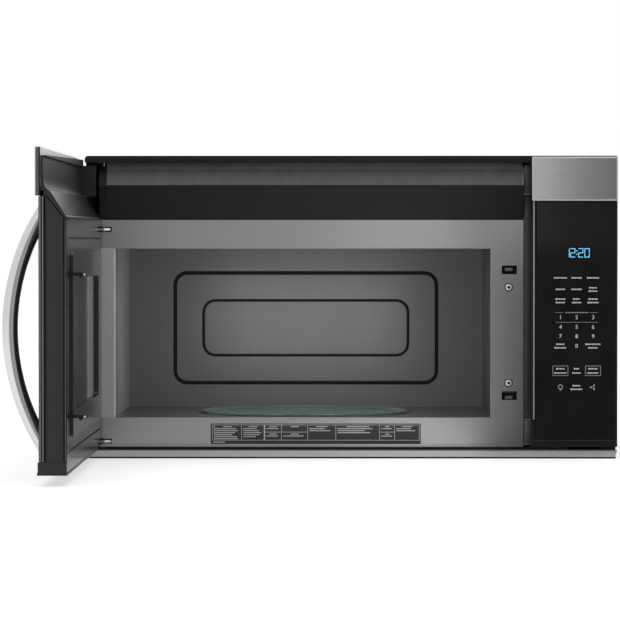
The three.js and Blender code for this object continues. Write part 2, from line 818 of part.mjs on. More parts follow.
// The board behind the latch slots: an open channel with a catch ledge at each slot.
function latchBoard() {
  const y0 = boardFront;
  const y1 = y0 + boardDepth;
  const x0 = latchX - latchSlotWidth / 2 - 3;
  const x1 = latchX + latchSlotWidth / 2 + 3;
  const z0 = lowerLatch - boardEnd;
  const z1 = upperLatch + boardEnd;
  let board = cut(
    block(x0, x1, y0, y1, z0, z1),
    block(x0 + boardWall, x1 + 1, y0 - 1, y1 - boardWall, z0 + boardWall, z1 - boardWall),
  );
  [lowerLatch, upperLatch].forEach((z) => {
    const top = z - latchSlotHeight / 2 + 0.5;
    board = join(board, block(x0 + 1, x1, y0, y0 + 7, top - 6, top));
  });
  const ribs = [0.3, 0.5, 0.7].map((share) => {
    const z = z0 + share * (z1 - z0);
    return block(x0 + 1, x1, y0 + 6, y1 - 1, z - 1, z + 1);
  });
  return join(board, ...ribs);
}

function interlockSwitch(z) {
  const y0 = boardFront + boardDepth + gap;
  const body = block(latchX - 5, latchX + 5, y0, y0 + 16, z - 14, z + 14);
  const tabs = [-8, 0, 8].map((offset) => block(
    latchX - 3, latchX + 3, y0 + 15.5, y0 + 24, z + offset - 0.4, z + offset + 0.4,
  ));
  return join(body, ...tabs);
}

const hingeArmLength = 34; // behind the face frame

// A plate through the frame's slot, with the pivot pin at its front end.
function hingePlateSolid(z) {
  const arm = new THREE.Shape();
  const x1 = hingeArmX + hingeArmWidth;
  arm.absarc(hingeX, hingeY, pinRadius + 3, Math.PI, Math.PI * 1.5, false);
  arm.lineTo(hingeX + 9, hingeY - 4);
  arm.lineTo(x1, face - 6);
  arm.lineTo(x1, face + hingeArmLength);
  arm.lineTo(hingeArmX, face + hingeArmLength);
  arm.lineTo(hingeArmX, face - 4);
  arm.lineTo(hingeX - 4, hingeY + 5);
  const plate = alongZ(arm, z - hingePlate / 2, z + hingePlate / 2, 4);
  const pin = rod(pinRadius, z - pinReach, z + pinReach, 12).translate([hingeX, hingeY, 0]);
  return join(plate, pin);
}

place(product, 'latch_board', latchBoard(), blackPlastic());
place(product, 'interlock_switch_upper', interlockSwitch(upperLatch), blackPlastic());
place(product, 'interlock_switch_lower', interlockSwitch(lowerLatch), blackPlastic());
place(product, 'hinge_plate_upper', hingePlateSolid(upperHinge), castAluminium());
place(product, 'hinge_plate_lower', hingePlateSolid(lowerHinge), castAluminium());

// ---------------------------------------------------------------- turntable

const coverThick = 0.8;
const motorRadius = 25;
const motorTop = wellFloor - sheet - gap;
const ringZ = wellFloor + gap + rollerRadius;
const trayBottom = ringZ + rollerRadius + gap;
const ringOuter = rollerCircle - rollerWidth / 2 - running;
const ringInner = ringOuter - ringSection;

function turntableMotor() {
  const can = rod(motorRadius, motorTop - 15, motorTop, 28);
  const ears = block(-motorRadius - 9, motorRadius + 9, -6, 6, motorTop - 1.5, motorTop);
  const terminals = block(motorRadius - 4, motorRadius + 7, -8, 8, motorTop - 12, motorTop - 6);
  const socket = rod(shaftRadius + running, motorTop - 8, motorTop + 1);
  return cut(join(can, ears, terminals), socket).translate([cavityX, cavityY, 0]);
}

function driveCoupling() {
  const shaft = rod(shaftRadius, motorTop - 7, wellFloor + 2, 12);
  const lobes = new THREE.Shape();
  const lobeRadius = 6;
  for (let lobe = 0; lobe < 3; lobe += 1) {
    const angle = (lobe * Math.PI * 2) / 3;
    const x = 9 * Math.cos(angle);
    const y = 9 * Math.sin(angle);
    lobes.absarc(x, y, lobeRadius, angle - Math.PI / 2, angle + Math.PI / 2, false);
  }
  const hub = alongZ(lobes, wellFloor + gap + 0.5, trayBottom - gap, 5);
  return join(shaft, hub).translate([cavityX, cavityY, 0]);
}

function rollerRing() {
  let ring = ringRod(ringInner, ringOuter, ringZ - 2.5, ringZ + 2.5, 32);
  const hubRing = ringRod(24, 30, ringZ - 2.5, ringZ + 2.5, 16);
  ring = join(ring, hubRing);
  for (let index = 0; index < 3; index += 1) {
    const angle = 120 * index;
    const axle = toX(rod(2, ringOuter - 2, rollerCircle + rollerWidth / 2 + 2, 8));
    const spoke = block(28, ringInner + 2, -3, 3, -2.5, 2.5);
    ring = join(ring, join(axle, spoke).rotate([0, 0, angle + 90]).translate([0, 0, ringZ]));
  }
  return ring.translate([cavityX, cavityY, 0]);
}

function roller() {
  return turned([
    [2 + gap, -rollerWidth / 2],
    [rollerRadius - 0.8, -rollerWidth / 2],
    [rollerRadius, -rollerWidth / 2 + 0.8],
    [rollerRadius, rollerWidth / 2 - 0.8],
    [rollerRadius - 0.8, rollerWidth / 2],
    [2 + gap, rollerWidth / 2],
    [2 + gap, -rollerWidth / 2],
  ], 14);
}

function glassTray() {
  const plate = turned([
    [0, trayBottom],
    [trayRadius - 14, trayBottom],
    [trayRadius - 5, trayBottom + 1.5],
    [trayRadius, trayBottom + trayGlass + trayRimRise - 1],
    [trayRadius - 1.5, trayBottom + trayGlass + trayRimRise],
    [trayRadius - 4, trayBottom + trayGlass + trayRimRise - 0.6],
    [trayRadius - 13, trayBottom + trayGlass],
    [0, trayBottom + trayGlass],
  ], 44);
  return plate.translate([cavityX, cavityY, 0]);
}

place(product, 'turntable_motor', turntableMotor(), galvanised());
place(product, 'drive_coupling', driveCoupling(), paleNylon());
place(product, 'roller_ring', rollerRing(), paleNylon());
for (let index = 0; index < 3; index += 1) {
  const angle = 120 * index + 90;
  const body = toX(roller()).translate([rollerCircle, 0, 0]).rotate([0, 0, angle]);
  place(product, `roller_${index + 1}`, body.translate([cavityX, cavityY, ringZ]), paleNylon());
}
place(product, 'glass_tray', glassTray(), clearGlass());

// ---------------------------------------------------------------- microwave source

const guideLeft = cavityRight + sheet + gap;
const guideWall = 1.2;
const guideRight = guideLeft + waveguideDepth;
const antennaRadius = 9;

function waveguide() {
  const y0 = magnetronY - waveguideWidth / 2;
  const y1 = magnetronY + waveguideWidth / 2;
  const z0 = magnetronZ - waveguideHeight / 2;
  const z1 = magnetronZ + waveguideHeight / 2;
  const shell = block(guideLeft, guideRight, y0, y1, z0, z1);
  const hollow = block(
    guideLeft - 1, guideRight - guideWall, y0 + guideWall, y1 - guideWall, z0 + guideWall, z1 - guideWall,
  );
  const flange = cut(
    block(
      guideLeft, guideLeft + guideWall,
      y0 - waveguideFlange, y1 + waveguideFlange, z0 - waveguideFlange, z1 + waveguideFlange,
    ),
    block(guideLeft - 1, guideLeft + guideWall + 1, y0 + 1, y1 - 1, z0 + 1, z1 - 1),
  );
  const port = toX(rod(antennaRadius + 2, -3, 3)).translate([guideRight, magnetronY, magnetronZ]);
  return cut(join(cut(shell, hollow), flange), port);
}

function waveguideCover() {
  const reach = 8;
  return block(
    cavityRight - gap - coverThick, cavityRight - gap,
    magnetronY - apertureWidth / 2 - reach, magnetronY + apertureWidth / 2 + reach,
    magnetronZ - apertureHeight / 2 - reach, magnetronZ + apertureHeight / 2 + reach,
  );
}

// Yoke, cooling fins on the anode, the antenna into the waveguide and the filter box.
function magnetron() {
  const x0 = guideRight + gap;
  const x1 = x0 + magnetronLength;
  const half = magnetronWidth / 2;
  const yokeY = yokeWidth / 2;
  const plateLeft = block(x0, x0 + 2, -yokeY - 8, yokeY + 8, -half, half);
  const plateRight = block(x1 - 2, x1, -yokeY, yokeY, -half, half);
  const top = block(x0, x1, -yokeY, yokeY, half - 2, half);
  const bottom = block(x0, x1, -yokeY, yokeY, -half, -half + 2);
  const anode = toX(rod(17, x0, x1, 12));
  const antenna = toX(rod(antennaRadius - 1, x0 - 24, x0 + 1, 12));
  const fins = [];
  for (let index = 0; index < magnetronFins; index += 1) {
    const x = x0 + 18 + (index * (x1 - x0 - 36)) / (magnetronFins - 1);
    fins.push(block(x - 0.5, x + 0.5, -yokeY + 3, yokeY - 3, -half + 1, half - 1));
  }
  const box = block(x1 - 1, x1 + 24, -28, 28, -30, 30);
  return join(plateLeft, plateRight, top, bottom, anode, antenna, ...fins, box)
    .translate([0, magnetronY, magnetronZ]);
}

function transformer() {
  const z0 = shelfHeight + gap;
  const z1 = z0 + transformerHeight;
  const hx = transformerWidth / 2;
  const hy = transformerDepth / 2;
  const core = block(-hx, hx, -hy, hy, z0, z1);
  const windows = [-1, 1].map((side) => block(
    (side * hx) / 2 - 9, (side * hx) / 2 + 9, -hy - 8, hy + 8, z0 + 16, z1 - 16,
  ));
  const windings = [-1, 1].map((side) => {
    const coil = alongY(roundRect(-hx + 20, hx - 20, z0 + 17, z1 - 17, 8), -7, 7, 3);
    return coil.translate([0, side * (hy + 9), 0]);
  });
  const leg = block(-hx + 22, hx - 22, -hy - 4, hy + 4, z0 + 20, z1 - 20);
  const feet = block(-hx, hx, -hy - 12, hy + 12, z0, z0 + 2.5);
  return join(cut(core, ...windows), leg, ...windings, feet)
    .translate([cavityRight + transformerX, transformerY, 0]);
}

function capacitor() {
  const z0 = shelfHeight + gap;
  const z1 = z0 + capacitorHeight;
  const hx = capacitorLength / 2;
  const hy = capacitorWidth / 2;
  const middle = (z0 + z1) / 2;
  const can = alongX(roundRect(-hy, hy, z0, z1, hy - 0.5), -hx, hx, 4);
  const terminals = [-9, 9].map((offset) => block(
    hx - 1, hx + 10, offset - 3, offset + 3, middle - 0.4, middle + 0.4,
  ));
  const strap = cut(
    block(-10, 10, -hy - 1.5, hy + 1.5, z0, z1 + 1.5),
    block(-11, 11, -hy + 1, hy - 1, z0 + 5, z1 - 4),
  );
  const foot = block(-10, 10, -hy - 13, hy + 13, z0, z0 + 1.5);
  return join(can, ...terminals, strap, foot)
    .translate([cavityRight + capacitorX, face + capacitorBack, 0]);
}

const fanX = guideRight + 40;
const fanBladeWidth = 20;

function fanMotor() {
  const y0 = fanY + fanBladeWidth / 2 + 6;
  const core = block(-30, 30, y0, y0 + 18, -34, 22);
  const coil = block(-16, 16, y0 - 3, y0 + 24, -40, -18);
  const bracket = join(
    block(-fanRadius - 12, fanRadius + 12, y0 + 17, y0 + 19, -8, 8),
    block(-fanRadius - 12, -fanRadius - 10, y0 - 30, y0 + 19, -8, 8),
    block(fanRadius + 10, fanRadius + 12, y0 - 30, y0 + 19, -8, 8),
  );
  const bearing = toY(rod(8, y0 - 4, y0 + 1, 14));
  const bore = toY(rod(2.6, y0 - 6, y0 + 30, 10));
  return cut(join(core, coil, bracket, bearing), bore).translate([fanX, 0, fanZ]);
}

function coolingFan() {
  const half = fanBladeWidth / 2;
  const hub = toY(rod(13, -half, half, 20));
  const shaft = toY(rod(2, -half, half + 22, 10));
  const blades = [];
  for (let index = 0; index < 5; index += 1) {
    const outline = new THREE.Shape();
    outline.moveTo(9, -6);
    outline.lineTo(fanRadius - 6, -20);
    outline.absarc(0, 0, fanRadius, -0.42, 0.3, false);
    outline.lineTo(9, 7);
    const blade = alongZ(outline, -0.8, 0.8, 4).rotate([28, 0, 0]);
    const inPlane = blade.rotate([90, 0, 0]).rotate([0, index * 72, 0]);
    blades.push(inPlane);
  }
  const disc = toY(rod(fanRadius, -half, half, 28));
  const trimmed = blades.map((blade) => blade.intersect(disc));
  return join(hub, shaft, ...trimmed).translate([fanX, fanY, fanZ]);
}

function noiseFilterBoard() {
  const x1 = right - filterBoardSide;
  const x0 = x1 - filterBoardWidth;
  const y1 = innerBack - 4;
  const z1 = cabinetHeight - filterBoardInset;
  const z0 = z1 - filterBoardHeight;
  const board = block(x0, x1, y1 - 1.6, y1, z0, z1);
  const choke = toY(ringRod(6, 15, -14, 0, 18)).translate([x0 + 22, y1 - 1.5, z0 + 30]);
  const blocks = [6, 32].map((rise) => block(
    x0 + 44, x0 + 66, y1 - 15, y1 - 1.5, z0 + rise, z0 + rise + 18,
  ));
  const corners = [[x0 + 6, z0 + 6], [x1 - 6, z0 + 6], [x0 + 6, z1 - 6], [x1 - 6, z1 - 6]];
  const posts = corners.map(([x, z]) => (
    block(x - 2, x + 2, y1 - 0.2, innerBack - gap, z - 2, z + 2)
  ));
  return join(board, choke, ...blocks, ...posts);
}

function cordGland() {
  const z0 = cabinetHeight - sheet;
  return turned([
    [glandRadius - 6, z0 - 12],
    [glandRadius - 1, z0 - 12],
    [glandRadius - 1, z0 - 4],
    [glandRadius + 4, z0 - 4],
    [glandRadius + 4, z0 - gap],
    [glandRadius, z0 - gap],
    [glandRadius, cabinetHeight - 0.1],
    [glandRadius - 6, cabinetHeight - 0.1],
    [glandRadius - 6, z0 - 12],
  ], 16).translate([glandX, glandY, 0]);
}

const lampHolderDepth = 34;
const lampHolderWidth = 44;
const lampHolderHeight = 36;
const lampSocketRadius = 9;
const lampSocketReach = 10; // behind the holder

function cavityLamp() {
  const x0 = cavityRight + sheet + gap;
  const x1 = x0 + lampHolderDepth;
  const hy = lampHolderWidth / 2;
  const hz = lampHolderHeight / 2;
  const holder = cut(
    block(x0, x1, -hy, hy, -hz, hz),
    block(x0 - 1, x1 - lampSocketReach, -hy + 3, hy - 3, -hz + 3, hz - 3),
  );
  const socket = toX(rod(lampSocketRadius, x1 - lampSocketReach - 2, x1 + lampSocketReach, 14));
  const bulb = toX(turned([[0, 0], [7, 3], [8.5, 9], [6, 16], [5, 20], [0, 20]], 14)).translate([x0 + 4, 0, 0]);
  return join(holder, socket, bulb).translate([0, ovenLampY, ovenLampZ]);
}

place(product, 'waveguide', waveguide(), galvanised());
place(product, 'waveguide_cover', waveguideCover(), mica());
place(product, 'magnetron', magnetron(), castAluminium());
place(product, 'transformer', transformer(), laminatedSteel());
place(product, 'capacitor', capacitor(), castAluminium());
place(product, 'fan_motor', fanMotor(), laminatedSteel());
place(product, 'cooling_fan', coolingFan(), paleNylon());
place(product, 'noise_filter_board', noiseFilterBoard(), circuitBoard());
place(product, 'cord_gland', cordGland(), blackPlastic());
place(product, 'cavity_lamp', cavityLamp(), galvanised());

// ---------------------------------------------------------------- hood blower

const scrollWall = 1.6;
const scrollStart = wheelRadius + 5;
const scrollGrowth = 11;
const housingEnd = 8; // housing's sides, beyond the wheel

// A volute round the wheel, drawn in YZ about the wheel's axis, with its neck to the front.
function scrollOutline(inset) {
  const shape = new THREE.Shape();
  const steps = 18;
  const start = (-Math.PI * 5) / 6;
  const sweep = Math.PI * 1.57;
  for (let step = 0; step <= steps; step += 1) {
    const share = step / steps;
    const angle = start + sweep * share;
    const radius = scrollStart + scrollGrowth * share - inset;
    const y = blowerY + radius * Math.cos(angle);
    const z = blowerZ + radius * Math.sin(angle);
    if (step === 0) {
      shape.moveTo(y, z);
    } else {
      shape.lineTo(y, z);
    }
  }
  const neckFront = blowerY - scrollStart - 50 - inset * 3;
  shape.lineTo(neckFront, blowerZ + scrollStart + 2 - inset);
  shape.lineTo(neckFront, blowerZ - 4 + inset);
  shape.lineTo(blowerY - scrollStart + 2 + inset, blowerZ - 8 + inset);
  return shape;
}

function blowerHousing(sign) {
  const x0 = sign * wheelSpacing - wheelWidth / 2 - housingEnd;
  const x1 = sign * wheelSpacing + wheelWidth / 2 + housingEnd;
  const shell = alongX(scrollOutline(0), x0, x1);
  const hollow = alongX(scrollOutline(scrollWall), x0 + scrollWall, x1 - scrollWall);
  const inlet = toX(rod(wheelRadius - 8, x0 - 1, x1 + 1, 20)).translate([0, blowerY, blowerZ]);
  return cut(shell, hollow, inlet);
}

function blowerWheel(sign) {
  const half = wheelWidth / 2;
  const inner = wheelRadius - 11;
  const disc = rod(inner + 1, -0.8, 0.8, wheelBlades);
  const rims = [-1, 1].map((end) => ringRod(
    wheelRadius - 8, wheelRadius, end * half - 1.2, end * half + 1.2, 18,
  ));
  const blades = [];
  for (let index = 0; index < wheelBlades; index += 1) {
    const outline = new THREE.Shape();
    outline.moveTo(inner, 0);
    outline.quadraticCurveTo(inner + 5, 4.5, wheelRadius - 1, 4.5);
    outline.lineTo(wheelRadius - 1, 5.7);
    outline.quadraticCurveTo(inner + 4, 5.7, inner, 1.2);
    blades.push(alongZ(outline, -half, half, 2).rotate([0, 0, (360 * index) / wheelBlades]));
  }
  const hub = rod(8, -10, 10, 12);
  const shaft = rod(3, -12, wheelSpacing - 24, 8);
  const wheel = join(disc, ...rims, ...blades, hub, shaft);
  return toX(sign > 0 ? wheel.rotate([180, 0, 0]) : wheel).translate([sign * wheelSpacing, blowerY, blowerZ]);
}

function blowerMotor() {
  const half = wheelSpacing - wheelWidth / 2 - housingEnd - 3;
  const can = toX(turned([
    [3 + running, -half],
    [blowerMotorRadius - 8, -half],
    [blowerMotorRadius, -half + 8],
    [blowerMotorRadius, half - 8],
    [blowerMotorRadius - 8, half],
    [3 + running, half],
    [3 + running, -half],
  ], 20)).translate([0, blowerY, blowerZ]);
  const cradleTop = blowerZ - blowerMotorRadius + 6;
  const cradle = block(-half + 8, half - 8, blowerY - 22, blowerY + 22, cavityTop + sheet + gap, cradleTop);
  const relief = toX(rod(blowerMotorRadius - 3, -half, half, 24)).translate([0, blowerY, blowerZ]);
  return join(can, cut(cradle, relief));
}

place(product, 'blower_motor', blowerMotor(), laminatedSteel());
place(product, 'blower_housing_left', blowerHousing(-1), galvanised());
place(product, 'blower_housing_right', blowerHousing(1), galvanised());
place(product, 'blower_wheel_left', blowerWheel(-1), blackPlastic());
place(product, 'blower_wheel_right', blowerWheel(1), blackPlastic());

// ---------------------------------------------------------------- underside of the hood

// A framed aluminium pad with pressed ridges and a pull ring.
function greaseFilter(sign) {
  const x = sign * filterSpacing;
  const hx = filterWidth / 2;
  const hy = filterLength / 2;
  const frame = cut(
    block(-hx, hx, -hy, hy, gap, gap + filterThick),
    block(-hx + 8, hx - 8, -hy + 8, hy - 8, -1, filterThick + 2),
  );
  const ridges = new THREE.Shape();
  const count = 16;
  const pitch = (2 * hx - 14) / count;
  ridges.moveTo(-hx + 7, 3);
  for (let index = 0; index < count; index += 1) {
    const start = -hx + 7 + index * pitch;
    ridges.lineTo(start + pitch / 2, 1.2);
    ridges.lineTo(start + pitch, 3);
  }
  for (let index = count; index > 0; index -= 1) {
    const start = -hx + 7 + index * pitch;
    ridges.lineTo(start, 7);
    ridges.lineTo(start - pitch / 2, 5.2);
  }
  ridges.lineTo(-hx + 7, 7);
  const pad = alongY(ridges, -hy + 7, hy - 7);
  return join(frame, pad).translate([x, filterY, 0]);
}

const lampBoxHeight = 22;
const bulbRadius = 7;

function surfaceLamp() {
  const hx = lampWidth / 2;
  const y0 = lampY - lampLength / 2;
  const y1 = lampY + lampLength / 2;
  const z0 = sheet + gap;
  const z1 = z0 + lampBoxHeight;
  const open = block(-hx - running, hx + running, y0 - running, y1 + running, 0, z1 - 2);
  const box = cut(block(-hx - 6, hx + 6, y0 - 4, y1 + 4, z0, z1), open);
  const lamps = [-1, 1].map((side) => (
    rod(bulbRadius, z1 - 12, z1 - 1, 14).translate([side * hx * 0.5, lampY, 0])
  ));
  return join(box, ...lamps);
}

function lampCover() {
  const hx = lampWidth / 2;
  const y0 = lampY - lampLength / 2;
  const y1 = lampY + lampLength / 2;
  const plate = block(-hx, hx, y0, y1, gap, gap + 2);
  const rimCut = block(-hx + 2, hx - 2, y0 + 2, y1 - 2, gap + 2, gap + 8);
  const rim = cut(block(-hx + 1.2, hx - 1.2, y0 + 2, y1 - 2, gap, gap + 5), rimCut);
  return join(plate, rim);
}

place(product, 'grease_filter_left', greaseFilter(-1), castAluminium());
place(product, 'grease_filter_right', greaseFilter(1), castAluminium());
place(product, 'surface_lamp', surfaceLamp(), galvanised());
place(product, 'lamp_cover', lampCover(), finish(0xdfe3e4, 0.25, 0));

// ---------------------------------------------------------------- door, drawn closed

const door = new THREE.Group();
product.add(door);

const glassBack = front + outerGlass;
const shellFront = glassBack + gap;
const doorWall = 1.6;
const shellBottom = frontBottom + bottomTrim + gap;
const windowX0 = cavityLeft + windowMargin;
const windowX1 = cavityRight - windowMargin;
const windowZ0 = cavityFloor + windowRise;
const windowZ1 = cavityTop - windowRise;
const notchHeight = hingePlate + 5;
const notchX = hingeX + 46;

function chassisSection(inset) {
  return polygon([
    [shellFront - (inset ? 1 : 0), shellBottom + inset],
    [doorInner - inset, shellBottom + inset],
    [doorInner - inset, chamferStart - inset * 0.5],
    [glassBack + chamferLeft - inset * 0.5, chamferTop - inset],
    [shellFront - (inset ? 1 : 0), chamferTop - inset],
  ]);
}

function hingeNotch(z) {
  return block(
    doorLeft - 1, notchX, hingeY - pinRadius - 8, doorInner + 1, z - notchHeight / 2, z + notchHeight / 2,
  );
}

function pinBoss(z0, z1) {
  return block(doorLeft + 1, hingeX + 8, hingeY - 9, hingeY + 12, z0, z1);
}

// The pressed line round the part of the door that meets the face frame.
function doorGroove() {
  const x0 = cavityLeft - doorGrooveMargin;
  const x1 = cavityRight + doorGrooveMargin;
  const z0 = cavityFloor - doorGrooveMargin;
  const z1 = cavityTop + doorGrooveMargin;
  const line = roundRect(x0, x1, z0, z1, windowCorner);
  const inner = doorGrooveWidth;
  line.holes.push(roundRect(
    x0 + inner, x1 - inner, z0 + inner, z1 - inner, windowCorner - inner, new THREE.Path(),
  ));
  return alongY(line, doorInner - doorGrooveDepth, doorInner + 1, 2);
}

// Two slots beside the glass and a fine line by the inner edge, down the end that carries the hooks.
function doorEndSlots() {
  const x0 = doorRight - endSlotDepth;
  const x1 = doorRight + 1;
  const y0 = shellFront + endSlotInset;
  const y1 = y0 + endSlotWidth;
  const z0 = shellBottom + endSlotFoot;
  const z1 = z0 + endSlotHeight;
  const lineY = doorInner - 2.5 * endLineWidth;
  return [
    block(x0, x1, y0, y1, z0, z1),
    block(x0, x1, y0, y1, z1 + endSlotBridge, chamferStart),
    block(x0, x1, lineY, lineY + endLineWidth, z0, chamferStart - 4),
  ];
}

const hookX = latchX;
const barY0 = doorInner - doorWall - 6;

function doorChassis() {
  const shell = alongX(chassisSection(0), doorLeft, doorRight);
  const hollow = alongX(chassisSection(doorWall), doorLeft + doorWall, doorRight - doorWall);
  let chassis = cut(shell, hollow);
  chassis = join(
    chassis,
    pinBoss(upperHinge + notchHeight / 2, upperHinge + notchHeight / 2 + 9),
    pinBoss(upperHinge - notchHeight / 2 - 12, upperHinge - notchHeight / 2),
    pinBoss(shellBottom, shellBottom + 12),
  );
  const window = alongY(
    roundRect(windowX0, windowX1, windowZ0, windowZ1, windowCorner), shellFront, doorInner + 1,
  );
  const hooks = [upperLatch, lowerLatch].map((z) => block(
    hookX - hookThick, hookX + hookThick, doorInner - doorWall - 1, doorInner + 1,
    z - latchSlotHeight / 2, z + latchSlotHeight / 2,
  ));
  const bores = [upperHinge, shellBottom + 4].map((z) => (
    rod(pinRadius + gap, z - 12, z + 12, 16).translate([hingeX, hingeY, 0])
  ));
  return cut(
    chassis, window, doorGroove(), ...doorEndSlots(), ...hooks,
    hingeNotch(upperHinge), hingeNotch(lowerHinge), ...bores,
  );
}

function doorInnerFrame() {
  const x0 = cavityLeft + innerFrameMargin;
  const x1 = cavityRight - innerFrameMargin;
  const z0 = cavityFloor + innerFrameMargin;
  const z1 = cavityTop - innerFrameMargin;
  const outline = roundRect(x0, x1, z0, z1, 10);
  outline.holes.push(roundRect(
    windowX0 + windowLip, windowX1 - windowLip, windowZ0 + windowLip, windowZ1 - windowLip, 8, new THREE.Path(),
  ));
  return alongY(outline, doorInner + gap, doorInner + innerFrameRise, 4);
}

function doorWindow() {
  return alongY(
    roundRect(windowX0 + gap, windowX1 - gap, windowZ0 + gap, windowZ1 - gap, windowCorner),
    doorInner - doorWall - 2, doorInner, 4,
  );
}

function doorTopBand() {
  return pan(doorLeft, doorRight, front - bandProud, front - gap, bandBottom + gap, frontTop, 1);
}

// The cove behind the steel band that turns the air upwards, closed at its hinge end.
function doorDeflector() {
  const top = frontTop - coveTopInset;
  const shape = new THREE.Shape();
  const y0 = front + gap;
  shape.moveTo(y0, chamferTop + gap);
  shape.lineTo(doorInner - 22, chamferTop + gap);
  shape.quadraticCurveTo(y0 + 3.5, chamferTop + 3, y0 + 3, chamferTop + 16);
  shape.lineTo(y0 + 3, top);
  shape.lineTo(y0, top);
  const end = block(doorLeft, doorLeft + 2, y0, hingeY + coveEndReach, chamferTop + gap, top);
  return join(alongX(shape, doorLeft, doorRight, 6), end);
}

function doorBottomTrim() {
  const bar = block(
    doorLeft, doorRight, front - bandProud, doorInner, frontBottom, frontBottom + bottomTrim,
  );
  const bore = rod(pinRadius + gap + 0.4, 0, 60, 16).translate([hingeX, hingeY, 0]);
  return cut(bar, hingeNotch(lowerHinge), bore);
}

function doorHandle() {
  const half = (handleTop - handleBottom) / 2;
  const middle = (handleTop + handleBottom) / 2;
  const rise = handleBow - handleThick / 2;
  const radius = (half * half + rise * rise) / (2 * rise);
  const spread = Math.asin(half / radius);
  const points = [];
  const steps = 16;
  for (let step = 0; step <= steps; step += 1) {
    const angle = -spread * 1.12 + (2.24 * spread * step) / steps;
    points.push(new THREE.Vector3(
      0,
      front + radius - rise - radius * Math.cos(angle),
      middle + radius * Math.sin(angle),
    ));
  }
  const section = roundRect(-handleWide / 2, handleWide / 2, -handleThick / 2, handleThick / 2, 6.5);
  const path = new THREE.CatmullRomCurve3(points);
  const bar = solid(new THREE.ExtrudeGeometry(section, {
    steps: 14, extrudePath: path, bevelEnabled: false, curveSegments: 2,
  }));
  const x = doorRight - handleInset;
  const behind = block(
    x - handleWide, x + handleWide, front - gap, front + handleBow + doorThickness,
    handleBottom - 60, handleTop + 60,
  );
  const trimTop = frontBottom + bottomTrim;
  const below = block(x - handleWide, x + handleWide, front - handleBow, front, trimTop - 60, trimTop + gap);
  return cut(bar.translate([x, 0, 0]), behind, below);
}

// One bar carries both hooks, so they lift together.
function latchBar() {
  const bar = block(
    hookX - latchBarWidth / 2, hookX + latchBarWidth / 2, barY0, barY0 + 3, lowerLatch - 12, upperLatch + 8,
  );
  const hooks = [lowerLatch, upperLatch].map((z) => {
    const low = z - latchSlotHeight / 2 + 1.2;
    const tip = doorInner + hookReach;
    const outline = polygon([
      [barY0 + 1, low + 2.6],
      [tip - 9, low + 2.6],
      [tip - 8, low],
      [tip - 5, low],
      [tip, low + hookHeight * 0.62],
      [tip - 2, low + hookHeight],
      [barY0 + 1, low + hookHeight],
    ]);
    return alongX(outline, hookX - hookThick / 2, hookX + hookThick / 2);
  });
  return join(bar, ...hooks);
}

const springRadius = 3.5;
const springTurns = 6;
const springBottom = upperLatch + 8 + gap + 0.6;
const springLength = 26;

class Helix extends THREE.Curve {
  getPoint(share, target = new THREE.Vector3()) {
    const angle = share * springTurns * Math.PI * 2;
    return target.set(
      hookX + springRadius * Math.cos(angle),
      barY0 + 1.5 + springRadius * Math.sin(angle),
      springBottom + share * springLength,
    );
  }
}

function latchSpring() {
  const wire = new THREE.Shape().absarc(0, 0, 0.55, 0, Math.PI * 2, false);
  return solid(new THREE.ExtrudeGeometry(wire, {
    steps: springTurns * 8, extrudePath: new Helix(), bevelEnabled: false, curveSegments: 2,
  }));
}

const outerGlassPane = block(doorLeft, doorRight, front, glassBack, frontBottom + bottomTrim + gap, chamferTop);

const doorPieces = [
  ['door_chassis', doorChassis(), blackPaint()],
  ['door_inner_frame', doorInnerFrame(), blackPlastic()],
  ['door_window', doorWindow(), darkGlass()],
  ['door_outer_glass', outerGlassPane, blackGlass()],
  ['door_top_band', doorTopBand(), brushedSteel()],
  ['door_deflector', doorDeflector(), blackPlastic()],
  ['door_bottom_trim', doorBottomTrim(), blackPlastic()],
  ['door_handle', doorHandle(), brushedSteel()],
  ['latch_bar', latchBar(), blackPlastic()],
  ['latch_spring', latchSpring(), castAluminium()],
];

doorPieces.forEach(([name, body, material]) => {
  place(door, name, body.translate([-hingeX, -hingeY, 0]), material);
});
door.position.set(hingeX, hingeY, 0);
door.rotation.z = THREE.MathUtils.degToRad(-openAngle);

export default product;
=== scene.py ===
"""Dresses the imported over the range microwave: finishes, fine pieces, studio and camera.

The frame of the CAD model: +X right, the front faces -Y, +Z up. The door stands open at a right angle. Lengths are
in millimetres, and the helpers turn them into metres. The property groups and the stage are in metres.
"""

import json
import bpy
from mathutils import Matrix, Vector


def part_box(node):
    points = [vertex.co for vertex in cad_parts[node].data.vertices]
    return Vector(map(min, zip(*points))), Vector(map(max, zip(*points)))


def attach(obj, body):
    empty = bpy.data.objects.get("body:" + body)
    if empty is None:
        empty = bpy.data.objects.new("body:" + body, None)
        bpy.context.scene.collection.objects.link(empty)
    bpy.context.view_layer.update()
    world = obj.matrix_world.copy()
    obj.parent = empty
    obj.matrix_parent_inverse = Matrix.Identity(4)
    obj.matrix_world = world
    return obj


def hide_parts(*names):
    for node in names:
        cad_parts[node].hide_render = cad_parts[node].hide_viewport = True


bl_info = {
    "name": "Over the Range Microwave Dresser",
    "version": (1, 0, 0),
    "blender": (4, 5, 0),
    "location": "3D View > Sidebar > Microwave",
    "description": "Adds the finishes, the fine pieces and the studio to the packed microwave",
    "category": "Object",
}

from math import asin, atan2, pi, radians, sin

import bmesh
import bpy
from mathutils import Matrix, Vector

